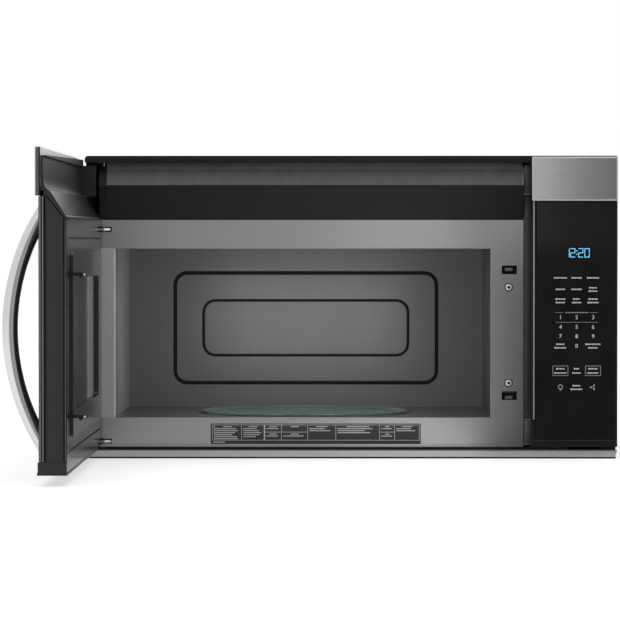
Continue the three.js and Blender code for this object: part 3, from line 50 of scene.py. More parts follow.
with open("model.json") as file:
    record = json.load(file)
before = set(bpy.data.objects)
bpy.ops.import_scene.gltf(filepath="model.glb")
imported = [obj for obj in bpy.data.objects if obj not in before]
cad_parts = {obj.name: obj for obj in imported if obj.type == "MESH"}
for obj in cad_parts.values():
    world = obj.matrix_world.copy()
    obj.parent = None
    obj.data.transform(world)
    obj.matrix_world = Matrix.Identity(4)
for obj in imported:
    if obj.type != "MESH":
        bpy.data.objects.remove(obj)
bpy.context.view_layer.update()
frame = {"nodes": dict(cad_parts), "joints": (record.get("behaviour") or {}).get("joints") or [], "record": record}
MM = 0.001
BOX_M = {name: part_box(name) for name in frame["nodes"]}  # in metres
BOX = {name: tuple(point / MM for point in box) for name, box in BOX_M.items()}
PIVOTS = {joint["name"]: Vector(joint["pos_m"]) / MM for joint in frame["joints"] if joint.get("pos_m")}
UPRIGHT = Matrix(((1, 0, 0, 0), (0, 0, 1, 0), (0, 1, 0, 0), (0, 0, 0, 1)))  # a plan seen from the front


def corner(node, side, axis):
    """A node's lowest (side 0) or highest (side 1) coordinate along axis 0, 1 or 2."""
    return BOX[node][side][axis]


# Places that the CAD model gives
GLASS_PROUD = 2.7  # how far the glass stands before its CAD nodes
BAND_PROUD = 3.4
BAND_FOOT = 367.6  # lower edge of both steel bands
PANE_TOP = BAND_FOOT - 0.3
FACE_Y = corner("face_frame", 0, 1)
GLASS_Y = corner("control_glass", 0, 1) - GLASS_PROUD
WALL_Y = corner("back_plate", 1, 1)
LEFT_X = corner("left_side_panel", 0, 0)
TOP_Z = corner("top_panel", 1, 2)
HINGE = PIVOTS["door_hinge"]
DOOR_X = corner("door_outer_glass", 0, 0) - GLASS_PROUD  # outside of the glass, with the door open
DOOR_END_Y = corner("door_outer_glass", 0, 1)
TRAY_AXIS = PIVOTS["turntable_turn"]
CAVITY_LEFT = corner("cavity_left_wall", 1, 0)
CAVITY_RIGHT = corner("cavity_right_wall", 0, 0)
CAVITY_FLOOR = corner("cavity_floor", 1, 2)
CAVITY_TOP = corner("cavity_ceiling", 0, 2)
CAVITY_BACK = corner("cavity_back_wall", 0, 1)
LATCH_LOW, LATCH_HIGH = corner("latch_board", 0, 2), corner("latch_board", 1, 2)
LATCH_X = (corner("latch_board", 0, 0) + corner("latch_board", 1, 0)) / 2


# ---------------------------------------------------------------- sizes and colours


class CabinetSettings(bpy.types.PropertyGroup):
    """Sizes of the fine pieces on the cabinet."""

    screw_radius: bpy.props.FloatProperty(
        name="Screw radius", description="Radius of a face screw's head", default=4.6 * MM, unit="LENGTH")
    screw_height: bpy.props.FloatProperty(
        name="Screw height", description="Height of a face screw's head", default=2.0 * MM, unit="LENGTH")
    # The rings' dark lines are painted shadow, laid in the pressed grooves.
    outer_ring: bpy.props.FloatProperty(
        name="Outer ring", description="Width of the outer pressed ring's dark line", default=5.4 * MM, unit="LENGTH")
    inner_ring: bpy.props.FloatProperty(
        name="Inner ring", description="Width of the inner pressed ring's dark line", default=3.8 * MM, unit="LENGTH")
    # The bright edge is a painted highlight down the left side of the cavity's mouth.
    mouth_edge: bpy.props.FloatProperty(
        name="Mouth edge", description="Width of the bright edge at the cavity's left side", default=2.3 * MM,
        unit="LENGTH")
    band_edge: bpy.props.FloatProperty(
        name="Band edge", description="Rounding of the steel bands' edges", default=1.1 * MM, unit="LENGTH")


class KeypadSettings(bpy.types.PropertyGroup):
    """Layout of the print on the control panel's glass."""

    columns: bpy.props.FloatVectorProperty(
        name="Columns", description="Middles of the three columns of keys", default=(0.2987, 0.3217, 0.3451), size=3,
        subtype="TRANSLATION")
    line_height: bpy.props.FloatProperty(
        name="Line height", description="Height of a line of print", default=1.9 * MM, unit="LENGTH")
    digit_height: bpy.props.FloatProperty(
        name="Digit height", description="Height of the number keys' digits", default=5.8 * MM, unit="LENGTH")
    clock_height: bpy.props.FloatProperty(
        name="Clock height", description="Height of the clock's digits", default=13 * MM, unit="LENGTH")
    proud: bpy.props.FloatProperty(
        name="Print thickness", description="Thickness of the print on the glass", default=0.12 * MM, unit="LENGTH")


class GuideSettings(bpy.types.PropertyGroup):
    """The dark guide plate on the sill."""

    left: bpy.props.FloatProperty(
        name="Left", description="Left end of the plate", default=-201 * MM, unit="LENGTH")
    right: bpy.props.FloatProperty(
        name="Right", description="Right end of the plate", default=100.5 * MM, unit="LENGTH")
    bottom: bpy.props.FloatProperty(
        name="Bottom", description="Lower edge of the plate", default=18.9 * MM, unit="LENGTH")
    top: bpy.props.FloatProperty(
        name="Top", description="Upper edge of the plate", default=48.2 * MM, unit="LENGTH")


class HandleSettings(bpy.types.PropertyGroup):
    """Sizes of the door handle."""

    width: bpy.props.FloatProperty(
        name="Width", description="Across the door", default=24 * MM, unit="LENGTH")
    corner_radius: bpy.props.FloatProperty(
        name="Corner radius", description="Rounding of the bar's section", default=9.9 * MM, unit="LENGTH")
    rings: bpy.props.IntProperty(
        name="Rings", description="Sections along the bow", default=72, min=8)


class FinishSettings(bpy.types.PropertyGroup):
    """Main colours of the finishes."""

    steel: bpy.props.FloatVectorProperty(
        name="Steel", description="Brushed stainless steel", default=(0.56, 0.555, 0.55), size=3, subtype="COLOR")
    enamel: bpy.props.FloatVectorProperty(
        name="Face enamel", description="Grey paint round the cavity", default=(0.4, 0.398, 0.395), size=3,
        subtype="COLOR")
    cavity: bpy.props.FloatVectorProperty(
        name="Cavity enamel", description="Dark speckled enamel", default=(0.13, 0.127, 0.125), size=3,
        subtype="COLOR")
    clock: bpy.props.FloatVectorProperty(
        name="Clock", description="Light of the clock's digits", default=(0.13, 0.62, 1.0), size=3,
        subtype="COLOR")


class StageSettings(bpy.types.PropertyGroup):
    """Studio and camera."""

    camera_place: bpy.props.FloatVectorProperty(
        name="Camera place", description="Where the camera stands", default=(0, -5.4725, 0.312), size=3,
        subtype="TRANSLATION")
    camera_target: bpy.props.FloatVectorProperty(
        name="Camera target", description="Point at the middle of the picture", default=(-0.058, -0.2225, 0.212),
        size=3, subtype="TRANSLATION")
    lens: bpy.props.FloatProperty(
        name="Lens", description="Focal length on a 36 mm sensor, in millimetres", default=213.9)
    backdrop: bpy.props.FloatProperty(
        name="Backdrop", description="Brightness of the backdrop seen by the camera", default=1.0)
    fill: bpy.props.FloatProperty(
        name="Fill", description="Strength of the light from all round", default=0.62)


SETTINGS = {
    "microwave_cabinet": CabinetSettings,
    "microwave_keypad": KeypadSettings,
    "microwave_guide": GuideSettings,
    "microwave_handle": HandleSettings,
    "microwave_finish": FinishSettings,
    "microwave_stage": StageSettings,
}


# ---------------------------------------------------------------- modelling helpers


def move(x, y, z):
    return Matrix.Translation(Vector((x, y, z)) * MM)


def object_from(bm, name, material):
    """Turns a bmesh, which is used up, into an object with one material."""
    mesh = bpy.data.meshes.new(name)
    bm.to_mesh(mesh)
    bm.free()
    obj = bpy.data.objects.new(name, mesh)
    bpy.context.scene.collection.objects.link(obj)
    mesh.materials.append(material)
    return obj


def piece(name, bm, body, finish, replaces=(), smooth=True):
    """Turns a bmesh into a finished piece of the model."""
    bmesh.ops.remove_doubles(bm, verts=bm.verts, dist=1e-6)
    bmesh.ops.recalc_face_normals(bm, faces=bm.faces)
    obj = object_from(bm, name, FINISHES[finish])
    if smooth:
        obj.data.shade_smooth()
        obj.data.set_sharp_from_angle(angle=radians(32))
    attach(obj, body)
    if replaces:
        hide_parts(*replaces)
    return obj


def blocks(name, body, finish, rows, replaces=(), smooth=True):
    """Makes a piece from rows of (x0, x1, y0, y1, z0, z1), each with the bevel and its segments if it has one."""
    bm = bmesh.new()
    for row in rows:
        block(bm, *row)
    return piece(name, bm, body, finish, replaces, smooth)


def beveled(bm, geom, radius, segments, affect="EDGES"):
    return bmesh.ops.bevel(
        bm, geom=geom, offset=radius * MM, offset_type="OFFSET", segments=segments, profile=0.5, affect=affect,
        material=-1, clamp_overlap=True)


def block(bm, x0, x1, y0, y1, z0, z1, bevel=0.0, segments=2):
    """Adds a block between two corners, with its edges rounded."""
    size = Matrix.Diagonal((*(Vector((x1 - x0, y1 - y0, z1 - z0)) * MM), 1))
    place = move((x0 + x1) / 2, (y0 + y1) / 2, (z0 + z1) / 2)
    made = bmesh.ops.create_cube(bm, size=1, matrix=place @ size)["verts"]
    if bevel:
        done = beveled(bm, list({edge for vert in made for edge in vert.link_edges}), bevel, segments)
        made = [v for v in (*done["verts"], *made) if v.is_valid]
    return made


def turned(bm, profile, centre, axis=(0, 0, 1), steps=48):
    """Spins a profile of (radius, height) points once round an axis through centre, and closes it."""
    axis = Vector(axis).normalized()
    side = axis.orthogonal().normalized()
    centre = Vector(centre)
    verts = [bm.verts.new((centre + side * radius + axis * height) * MM) for radius, height in profile]
    edges = [bm.edges.new(pair) for pair in zip(verts, verts[1:])]
    bmesh.ops.spin(
        bm, geom=verts + edges, cent=centre * MM, axis=axis, angle=2 * pi, steps=steps, use_merge=True,
        use_duplicate=False)


def merged(bm, part, matrix=None):
    """Adds the geometry of another bmesh, which is used up."""
    mesh = bpy.data.meshes.new("part")
    part.to_mesh(mesh)
    part.free()
    if matrix is not None:
        mesh.transform(matrix)
    bm.from_mesh(mesh)
    bpy.data.meshes.remove(mesh)


def upright(bm, x0, x1, z0, z1, y0, y1, radius, bevel=0.0, width=0.0, matrix=None):
    """Adds an upright plate with round corners, or a frame where it has a width, with its sharp edges rounded."""
    part = bmesh.new()
    section = rounded_section(part, (x1 - x0) / 2, (z1 - z0) / 2, radius, 6)
    bmesh.ops.translate(part, verts=section, vec=Vector(((x0 + x1) / 2, (z0 + z1) / 2, 0)) * MM)
    if width:
        middle = part.faces[:]
        bmesh.ops.inset_region(part, faces=middle, thickness=width * MM, use_boundary=True, use_even_offset=True)
        bmesh.ops.delete(part, geom=middle, context="FACES")
    grown = bmesh.ops.extrude_face_region(part, geom=part.faces[:])["geom"]
    tops = [item for item in grown if isinstance(item, bmesh.types.BMVert)]
    bmesh.ops.translate(part, verts=tops, vec=(0, 0, (y1 - y0) * MM))
    bmesh.ops.translate(part, verts=part.verts[:], vec=(0, 0, y0 * MM))
    bmesh.ops.transform(part, verts=part.verts[:], matrix=UPRIGHT)
    bmesh.ops.recalc_face_normals(part, faces=part.faces[:])
    if bevel:
        sharp = radians(50)
        beveled(part, [edge for edge in part.edges if edge.is_manifold and edge.calc_face_angle() > sharp], bevel, 2)
    merged(bm, part, matrix)


def screw(bm, centre, axis, radius, height):
    """Adds a pan-head screw with a sunk drive."""
    profile = ((0, 0.3), (0.24, 0.3), (0.34, 0.96), (0.62, 1), (0.86, 0.78), (1, 0.3), (1, 0), (0, 0))
    turned(bm, [(radius * across, height * up) for across, up in profile], centre, axis, 28)


def rounded_section(bm, half_a, half_b, radius, segments):
    """A flat rectangle with round corners in the XY plane, and its vertices."""
    half_a, half_b = half_a * MM, half_b * MM
    verts = [bm.verts.new((a * half_a, b * half_b, 0)) for a, b in ((-1, -1), (1, -1), (1, 1), (-1, 1))]
    bm.faces.new(verts)
    beveled(bm, verts, radius, segments, "VERTICES")
    return [vert for vert in bm.verts if vert.is_valid]


# ---------------------------------------------------------------- finishes


class Finish:
    """A node material on Object coordinates, built up by short calls."""

    def __init__(self, name, color, roughness, metallic=0.0, **sockets):
        self.material = bpy.data.materials.new(name)
        self.material.use_nodes = True
        self.nodes = self.material.node_tree.nodes
        self.links = self.material.node_tree.links
        self.surface = self.nodes["Principled BSDF"]
        self.base = tuple(color)
        self.surface.inputs["Base Color"].default_value = (*color, 1)
        self.surface.inputs["Roughness"].default_value = roughness
        self.surface.inputs["Metallic"].default_value = metallic
        for socket, value in sockets.items():
            self.surface.inputs[socket.replace("_", " ")].default_value = value
        self.roughness = roughness
        self.coordinates = self.add("ShaderNodeTexCoord").outputs["Object"]
        self.height = None

    def add(self, kind, **settings):
        node = self.nodes.new(kind)
        for key, value in settings.items():
            if key.startswith("in_"):
                node.inputs[key[3:].replace("_", " ")].default_value = value
            else:
                setattr(node, key, value)
        return node

    def mapped(self, scale):
        mapping = self.add("ShaderNodeMapping", in_Scale=scale)
        self.links.new(self.coordinates, mapping.inputs["Vector"])
        return mapping.outputs["Vector"]

    def noise(self, scale, detail=2.0, stretch=(1, 1, 1)):
        node = self.add("ShaderNodeTexNoise", in_Scale=scale, in_Detail=detail)
        self.links.new(self.mapped(stretch), node.inputs["Vector"])
        return node.outputs["Fac"]

    def cells(self, scale, stretch=(1, 1, 1), feature="F1"):
        node = self.add("ShaderNodeTexVoronoi", in_Scale=scale, feature=feature)
        self.links.new(self.mapped(stretch), node.inputs["Vector"])
        return node

    def ranged(self, value, low, high, start=0.3, end=0.7):
        node = self.add("ShaderNodeMapRange", in_From_Min=start, in_From_Max=end, in_To_Min=low, in_To_Max=high)
        self.links.new(value, node.inputs["Value"])
        return node.outputs["Result"]

    def tint(self, value, dark, light, start=0.3, end=0.7):
        """Colours the surface between two shades by value."""
        ramp = self.add("ShaderNodeValToRGB")
        for stop, place, color in zip(ramp.color_ramp.elements, (start, end), (dark, light)):
            stop.position = place
            stop.color = (*color, 1)
        self.links.new(value, ramp.inputs["Fac"])
        self.links.new(ramp.outputs["Color"], self.surface.inputs["Base Color"])
        return self

    def shade(self, value, spread, start=0.3, end=0.7):
        """Varies the base colour by a share either way."""
        dark = tuple(c * (1 - spread) for c in self.base)
        light = tuple(min(1, c * (1 + spread)) for c in self.base)
        return self.tint(value, dark, light, start, end)

    def gloss(self, value, spread, start=0.3, end=0.7):
        result = self.ranged(value, self.roughness - spread, self.roughness + spread, start, end)
        self.links.new(result, self.surface.inputs["Roughness"])
        return self

    def bump(self, value, depth_mm, strength=1.0):
        node = self.add("ShaderNodeBump", in_Strength=strength, in_Distance=depth_mm * MM)
        self.links.new(value, node.inputs["Height"])
        if self.height is not None:
            self.links.new(self.height, node.inputs["Normal"])
        self.height = node.outputs["Normal"]
        self.links.new(self.height, self.surface.inputs["Normal"])
        return self


def brushed_steel(name, color, along):
    """Stainless steel brushed along axis 0, 1 or 2."""
    stretch = [1.0, 1.0, 1.0]
    stretch[along] = 0.012
    finish = Finish(name, color, 0.18, 1.0)
    lines = finish.noise(2600, 3, tuple(stretch))
    broad = finish.noise(9, 2)
    finish.shade(lines, 0.07)
    finish.gloss(broad, 0.01)
    finish.bump(lines, 0.004, 0.5)
    return finish.material


def satin_paint(name, color, roughness=0.42, grain=0.02, level=0.28):
    """Powder paint: a fine orange peel and slight mottling."""
    finish = Finish(name, color, roughness, 0.0, Specular_IOR_Level=level)
    peel = finish.noise(1100, 2)
    finish.shade(finish.noise(35, 3), 0.08)
    finish.gloss(peel, 0.05)
    finish.bump(peel, grain)
    return finish.material


def flake_paint(name, color, roughness=0.38, metallic=0.45):
    """Grey paint with fine metal flakes."""
    finish = Finish(name, color, roughness, metallic)
    flakes = finish.cells(2400)
    finish.shade(flakes.outputs["Distance"], 0.1, 0.1, 0.8)
    finish.gloss(finish.noise(60, 3), 0.012)
    finish.bump(finish.noise(900, 2), 0.003)
    return finish.material


def speckled_enamel(name, color):
    """Fired enamel: dark, glossy, with fine pale speckles."""
    finish = Finish(name, color, 0.3, 0.0, Specular_IOR_Level=0.5)
    specks = finish.cells(1500)
    spots = finish.ranged(specks.outputs["Distance"], 1.0, 0.0, 0.12, 0.22)
    sparse = finish.noise(420, 1)
    chosen = finish.ranged(sparse, 0.0, 1.0, 0.5, 0.6)
    both = finish.add("ShaderNodeMath", operation="MULTIPLY")
    finish.links.new(spots, both.inputs[0])
    finish.links.new(chosen, both.inputs[1])
    finish.tint(both.outputs["Value"], color, tuple(c * 3.2 for c in color), 0.0, 1.0)
    finish.gloss(finish.noise(25, 2), 0.02)
    finish.bump(finish.noise(260, 2), 0.015)
    return finish.material


def moulded_plastic(name, color, roughness=0.42, level=0.28):
    """Moulded plastic with a fine spark-eroded texture."""
    finish = Finish(name, color, roughness, 0.0, Specular_IOR_Level=level)
    grain = finish.noise(1500, 2)
    finish.shade(finish.noise(50, 2), 0.1)
    finish.gloss(grain, 0.06)
    finish.bump(grain, 0.02)
    return finish.material


def black_glass(name, color, roughness=0.1):
    """Black glass with a faint haze of handling."""
    finish = Finish(name, color, roughness, 0.0, Specular_IOR_Level=0.2)
    haze = finish.noise(14, 4)
    finish.shade(haze, 0.2)
    finish.gloss(haze, 0.03)
    return finish.material


def clear_glass(name, color, roughness, transmission):
    """Clear or smoked glass with a faint haze."""
    finish = Finish(name, color, roughness, 0.0, IOR=1.5, Transmission_Weight=transmission)
    haze = finish.noise(20, 3)
    finish.gloss(haze, 0.02)
    finish.shade(haze, 0.03)
    return finish.material


def bare_zinc(name, color):
    """Galvanised sheet with crystals of zinc."""
    finish = Finish(name, color, 0.4, 0.85)
    crystals = finish.cells(110)
    split = finish.add("ShaderNodeSeparateColor")
    finish.links.new(crystals.outputs["Color"], split.inputs["Color"])
    finish.shade(split.outputs["Red"], 0.14, 0.0, 1.0)
    finish.gloss(split.outputs["Green"], 0.1, 0.0, 1.0)
    finish.bump(finish.noise(700, 2), 0.01)
    return finish.material


def plated(name, color, roughness=0.28, metallic=1.0):
    """Bright plated or plain metal with a fine grain."""
    finish = Finish(name, color, roughness, metallic)
    grain = finish.noise(1300, 3)
    finish.shade(grain, 0.1)
    finish.gloss(finish.noise(60, 2), 0.06)
    finish.bump(grain, 0.01)
    return finish.material


def hinge_metal(name, dark, light, edge):
    """Plated metal with painted shade: darkened up to a place along X, where it runs inside the door."""
    finish = Finish(name, light, 0.3, 0.4)
    split = finish.add("ShaderNodeSeparateXYZ")
    finish.links.new(finish.coordinates, split.inputs["Vector"])
    share = finish.ranged(split.outputs["X"], 0.0, 1.0, (edge - 1.5) * MM, (edge + 0.5) * MM)
    finish.tint(share, dark, light, 0.0, 1.0)
    finish.bump(finish.noise(1300, 3), 0.01)
    return finish.material


def laminations(name, color):
    """Varnished stack of steel sheets."""
    finish = Finish(name, color, 0.45, 0.6)
    sheets = finish.add("ShaderNodeTexWave", in_Scale=330, in_Distortion=0.3, bands_direction="X")
    finish.links.new(finish.mapped((1, 1, 1)), sheets.inputs["Vector"])
    finish.shade(sheets.outputs["Fac"], 0.3, 0.2, 0.8)
    finish.bump(sheets.outputs["Fac"], 0.05)
    return finish.material


def circuit_laminate(name, color):
    """Green board with a finer, lighter web of tracks."""
    finish = Finish(name, color, 0.4)
    tracks = finish.cells(160, (1, 1, 1), "DISTANCE_TO_EDGE")
    finish.tint(tracks.outputs["Distance"], tuple(c * 2.2 for c in color), color, 0.05, 0.12)
    finish.bump(tracks.outputs["Distance"], 0.03)
    return finish.material


def mica_sheet(name, color):
    """Pale mica with drawn-out flakes."""
    finish = Finish(name, color, 0.5)
    flakes = finish.cells(90, (1, 1, 0.45))
    finish.shade(flakes.outputs["Distance"], 0.16, 0.0, 0.9)
    finish.bump(finish.noise(300, 3), 0.03)
    return finish.material


def granules(name, color):
    """Black carbon granules."""
    finish = Finish(name, color, 0.85)
    grains = finish.cells(420)
    finish.shade(grains.outputs["Distance"], 0.5, 0.1, 0.7)
    finish.bump(grains.outputs["Distance"], 0.8)
    return finish.material


def frosted_lens(name, color):
    """Frosted lens with fine ribs."""
    finish = Finish(name, color, 0.3, 0.0, Transmission_Weight=0.35)
    ribs = finish.add("ShaderNodeTexWave", in_Scale=160, bands_direction="X")
    finish.links.new(finish.mapped((1, 1, 1)), ribs.inputs["Vector"])
    finish.shade(ribs.outputs["Fac"], 0.05, 0, 1)
    finish.bump(ribs.outputs["Fac"], 0.2)
    return finish.material


def lit(name, color, strength):
    """A lit display segment with a slightly uneven glow."""
    finish = Finish(name, color, 0.4, 0.0, Emission_Strength=strength, Emission_Color=(*color, 1))
    finish.shade(finish.noise(900, 2), 0.08)
    return finish.material


FINISHES = {}


class MICROWAVE_OT_finishes(bpy.types.Operator):
    """Gives every CAD node its finish"""

    bl_idname = "microwave.finishes"
    bl_label = "Finishes"

    def execute(self, context):
        shades = context.scene.microwave_finish
        steel, enamel, cavity = tuple(shades.steel), tuple(shades.enamel), tuple(shades.cavity)
        for maker, name, *look in (
            (satin_paint, "black_paint", (0.008, 0.008, 0.0085)),
            (bare_zinc, "galvanised", (0.38, 0.39, 0.4)),
            (flake_paint, "grey_enamel", enamel, 0.24, 0.8),
            (flake_paint, "silver_enamel", 0.4),
            (flake_paint, "flange_grey", 0.06),
            (flake_paint, "liner_grey", 0.45, 0.5, 0.1),
            # Painted highlight: a pale paint for the bright line on the mouth's left edge.
            (satin_paint, "pale_line", 0.8, 0.4, 0.005),
            # Painted light: grey and pale tones laid on the black vent's upper slope and slot.
            (moulded_plastic, "vent_grey", (0.11, 0.11, 0.111)),
            (moulded_plastic, "vent_pale", 0.2),
            (speckled_enamel, "cavity_enamel", cavity),
            # Painted light and shade: a lighter and a darker copy of the cavity enamel, for the lit left wall and the
            # shaded right wall
            (speckled_enamel, "cavity_pale", tuple(2.9 * c for c in cavity)),
            (speckled_enamel, "cavity_dark", tuple(0.5 * c for c in cavity)),
            (moulded_plastic, "black_plastic", (0.009, 0.009, 0.0095)),
            (granules, "carbon", (0.015, 0.015, 0.016)),
            (brushed_steel, "steel_x", steel, 0),
            (brushed_steel, "steel_y", steel, 1),
            # Painted light: the handle's steel is a lighter copy of the bands' steel, for its bright highlight.
            (brushed_steel, "steel_z", tuple(1.1 * c for c in steel), 2),
            # Painted highlight: a brighter steel for the bright lines round the band's edges.
            (plated, "steel_border", (0.62, 0.62, 0.61), 0.4, 0.2),
            (black_glass, "black_glass", (0.0135, 0.0135, 0.014)),
            (satin_paint, "ring_shadow", 0.017, 0.7, 0.01, 0.05),
            (satin_paint, "door_black", (0.019, 0.019, 0.0195), 0.24, 0.002, 0.6),
            (satin_paint, "inner_gloss", (0.016, 0.016, 0.0165), 0.16, 0.001, 0.6),
            (satin_paint, "deflector_black", 0.02, 0.45, 0.004, 0.3),
            (satin_paint, "slope_grey", 0.1, 0.35, 0.004, 0.5),
            (moulded_plastic, "rail_black", 0.004, 0.4),
            (satin_paint, "edge_grey", (0.045, 0.045, 0.046), 0.3, 0.004, 0.5),
            (satin_paint, "light_line", 0.24, 0.35, 0.004),
            (satin_paint, "white_back", 0.94, 0.4, 0.004),
            # Bright plate for the face screws, and for the painted glints at the hooks' tips.
            (plated, "bright_edge", 0.86, 0.32, 0.4),
            # Painted shade: the hinge plates darken where they run into the door.
            (hinge_metal, "hinge_metal", 0.12, (0.9, 0.9, 0.9), HINGE.x + 20.5),
            (flake_paint, "lip_silver", 0.5, 0.34, 0.5),
            # This black is also laid as painted shade in gaps, grooves, slots and recesses.
            (moulded_plastic, "socket_black", 0.004, 0.6),
            (clear_glass, "dark_glass", (0.03, 0.032, 0.034), 0.05, 0.7),
            (clear_glass, "tray_glass", (0.62, 0.86, 0.74), 0.04, 0.82),
            (circuit_laminate, "circuit_board", (0.012, 0.075, 0.03)),
            (moulded_plastic, "pale_nylon", (0.66, 0.65, 0.6), 0.45),
            (plated, "zinc_plate", (0.7, 0.69, 0.67)),
            (mica_sheet, "mica", (0.5, 0.44, 0.33)),
            (plated, "aluminium", (0.6, 0.61, 0.62), 0.34),
            (laminations, "laminated_steel", (0.07, 0.07, 0.075)),
            (frosted_lens, "lamp_lens", (0.8, 0.82, 0.82)),
            (moulded_plastic, "print", 0.66, 0.6),
            (moulded_plastic, "guide_plate", 0.06, 0.5),
            (moulded_plastic, "panel_line", (0.05, 0.05, 0.052), 0.35),
            # Faint print, and also the painted highlight on the panel's left edge.
            (moulded_plastic, "faint_print", 0.34, 0.6),
            (lit, "clock", tuple(shades.clock), 0.75),
        ):
            color, *rest = look
            color = color if isinstance(color, tuple) else (color,) * 3
            FINISHES[name] = maker(name, color, *rest)
        special = {
            # Painted light: the handle takes the lighter copy of the steel.
            "control_top_band": "steel_x", "door_top_band": "steel_y", "door_handle": "steel_z",
            "base_plate": "lip_silver", "hinge_plate_upper": "hinge_metal", "hinge_plate_lower": "hinge_metal",
            "door_chassis": "door_black", "door_deflector": "deflector_black", "door_inner_frame": "inner_gloss",
            # Painted light and shade: the cavity's left wall is painted lighter, and its right wall and waveguide
            # cover darker
            "door_bottom_trim": "door_black", "top_rail": "rail_black", "waveguide_cover": "cavity_dark",
            "cavity_left_wall": "cavity_pale", "cavity_right_wall": "cavity_dark",
        }
        slots = {entry["node"]: entry["material_slot"] for entry in frame["record"]["subparts"]}
        for name, node in frame["nodes"].items():
            finish = FINISHES[special.get(name, slots[name])]
            node.data.materials.clear()
            node.data.materials.append(finish)
        return {"FINISHED"}


# ---------------------------------------------------------------- handle


class MICROWAVE_OT_handle(bpy.types.Operator):
    """The bowed bar on the door, smooth from end to end"""

    bl_idname = "microwave.handle"
    bl_label = "Door handle"

    def execute(self, context):
        size = context.scene.microwave_handle
        low, high = BOX_M["door_handle"]  # in metres, as the bow's radius would magnify a rounding
        thick = 20 * MM
        x, y, z = low.x + thick / 2, (low.y + high.y) / 2, (low.z + high.z) / 2
        half = (high.z - low.z) / 2 - thick * 0.94
        rise = high.x - x
        radius = (half * half + rise * rise) / (2 * rise)
        spread = asin(half / radius) * 1.12  # runs on into the glass, where the bar is cut off
        centre = (x + radius, y, z)
        bm = bmesh.new()
        section = rounded_section(bm, thick / MM / 2, size.width / MM / 2, size.corner_radius / MM, 9)
        bmesh.ops.translate(bm, verts=section, vec=(x, y, z))
        bmesh.ops.rotate(bm, verts=section, cent=centre, matrix=Matrix.Rotation(-spread, 3, "Y"))
        bmesh.ops.spin(
            bm, geom=bm.verts[:] + bm.edges[:] + bm.faces[:], cent=centre, axis=(0, 1, 0), angle=2 * spread,
            steps=size.rings, use_merge=False, use_duplicate=False)
        bmesh.ops.bisect_plane(
            bm, geom=bm.verts[:] + bm.edges[:] + bm.faces[:], plane_co=(high.x, 0, 0), plane_no=(1, 0, 0),
            clear_outer=True)
        bmesh.ops.holes_fill(bm, edges=[edge for edge in bm.edges if edge.is_boundary])
        piece("door_handle_bar", bm, "door", "steel_z", ("door_handle",))
        return {"FINISHED"}


# ---------------------------------------------------------------- turntable


class MICROWAVE_OT_tray(bpy.types.Operator):
    """The glass tray, round and smooth, with its rim"""

    bl_idname = "microwave.tray"
    bl_label = "Glass tray"

    def execute(self, context):
        low, high = BOX["glass_tray"]
        edge = (high.x - low.x) / 2
        under, top = low.z, high.z
        upper = under + 4.5  # the tray's floor
        bm = bmesh.new()
        turned(bm, [
            (0, under), (edge - 14, under), (edge - 10, under + 0.4), (edge - 6, under + 1.3),
            (edge - 2.6, under + 3.2), (edge - 0.6, top - 2.2), (edge, top - 0.9), (edge - 0.7, top - 0.15),
            (edge - 1.8, top), (edge - 3.2, top - 0.5), (edge - 5.4, top - 2.0), (edge - 8.4, upper + 0.8),
            (edge - 12, upper + 0.1), (edge - 15, upper), (0, upper),
        ], (TRAY_AXIS.x, TRAY_AXIS.y, 0), steps=112)
        piece("glass_tray_dish", bm, "turntable", "tray_glass", ("glass_tray",))
        return {"FINISHED"}


# ---------------------------------------------------------------- cavity


class MICROWAVE_OT_cavity(bpy.types.Operator):
    """Painted shadow lines in the pressed rings' grooves, and the edges of the cavity's mouth, with a painted
    highlight down its left side
    """

    bl_idname = "microwave.cavity"
    bl_label = "Cavity"

    def execute(self, context):
        size = context.scene.microwave_cabinet
        lift, corner_radius = -1, 18
        # Painted shadow: dark strips in the pressed rings' grooves, where shade falls.
        for name, width, margin, inset in (
            ("outer_ring_line", size.outer_ring / MM, 70, 38), ("inner_ring_line", size.inner_ring / MM, 113.5, 80),
        ):
            half = width / 2
            bm = bmesh.new()
            upright(
                bm, CAVITY_LEFT + margin - half, CAVITY_RIGHT - margin + half, CAVITY_FLOOR + inset + lift - half,
                CAVITY_TOP - inset + lift + half, CAVITY_BACK + 0.5, CAVITY_BACK + 2.1, corner_radius + half, 0.4,
                width)
            piece(name, bm, "cabinet", "ring_shadow")
        self.mouth(size.mouth_edge / MM)
        return {"FINISHED"}

    def mouth(self, edge):
        proud, deep, fine = FACE_Y - 0.5, FACE_Y + 6, 0.8
        left, right, bottom, top = CAVITY_LEFT + 0.1, CAVITY_RIGHT - 0.1, CAVITY_FLOOR + 0.1, CAVITY_TOP - 0.1
        blocks("mouth_edge", "cabinet", "silver_enamel", (
            (left, right, proud, deep, top - fine, top, 0.3),
            (left, right, proud, deep, bottom, bottom + fine, 0.3),
            (right - fine, right, proud, deep, bottom + fine, top - fine, 0.3),
        ))
        # Painted highlight: a pale strip down the mouth's left edge stands for light caught by its folded edge.
        blocks("mouth_edge_left", "cabinet", "pale_line", (
            (left - edge * 0.7, left + edge * 0.3, proud, deep, bottom + fine, top - fine, 0.7, 4),
        ))


# ---------------------------------------------------------------- face frame


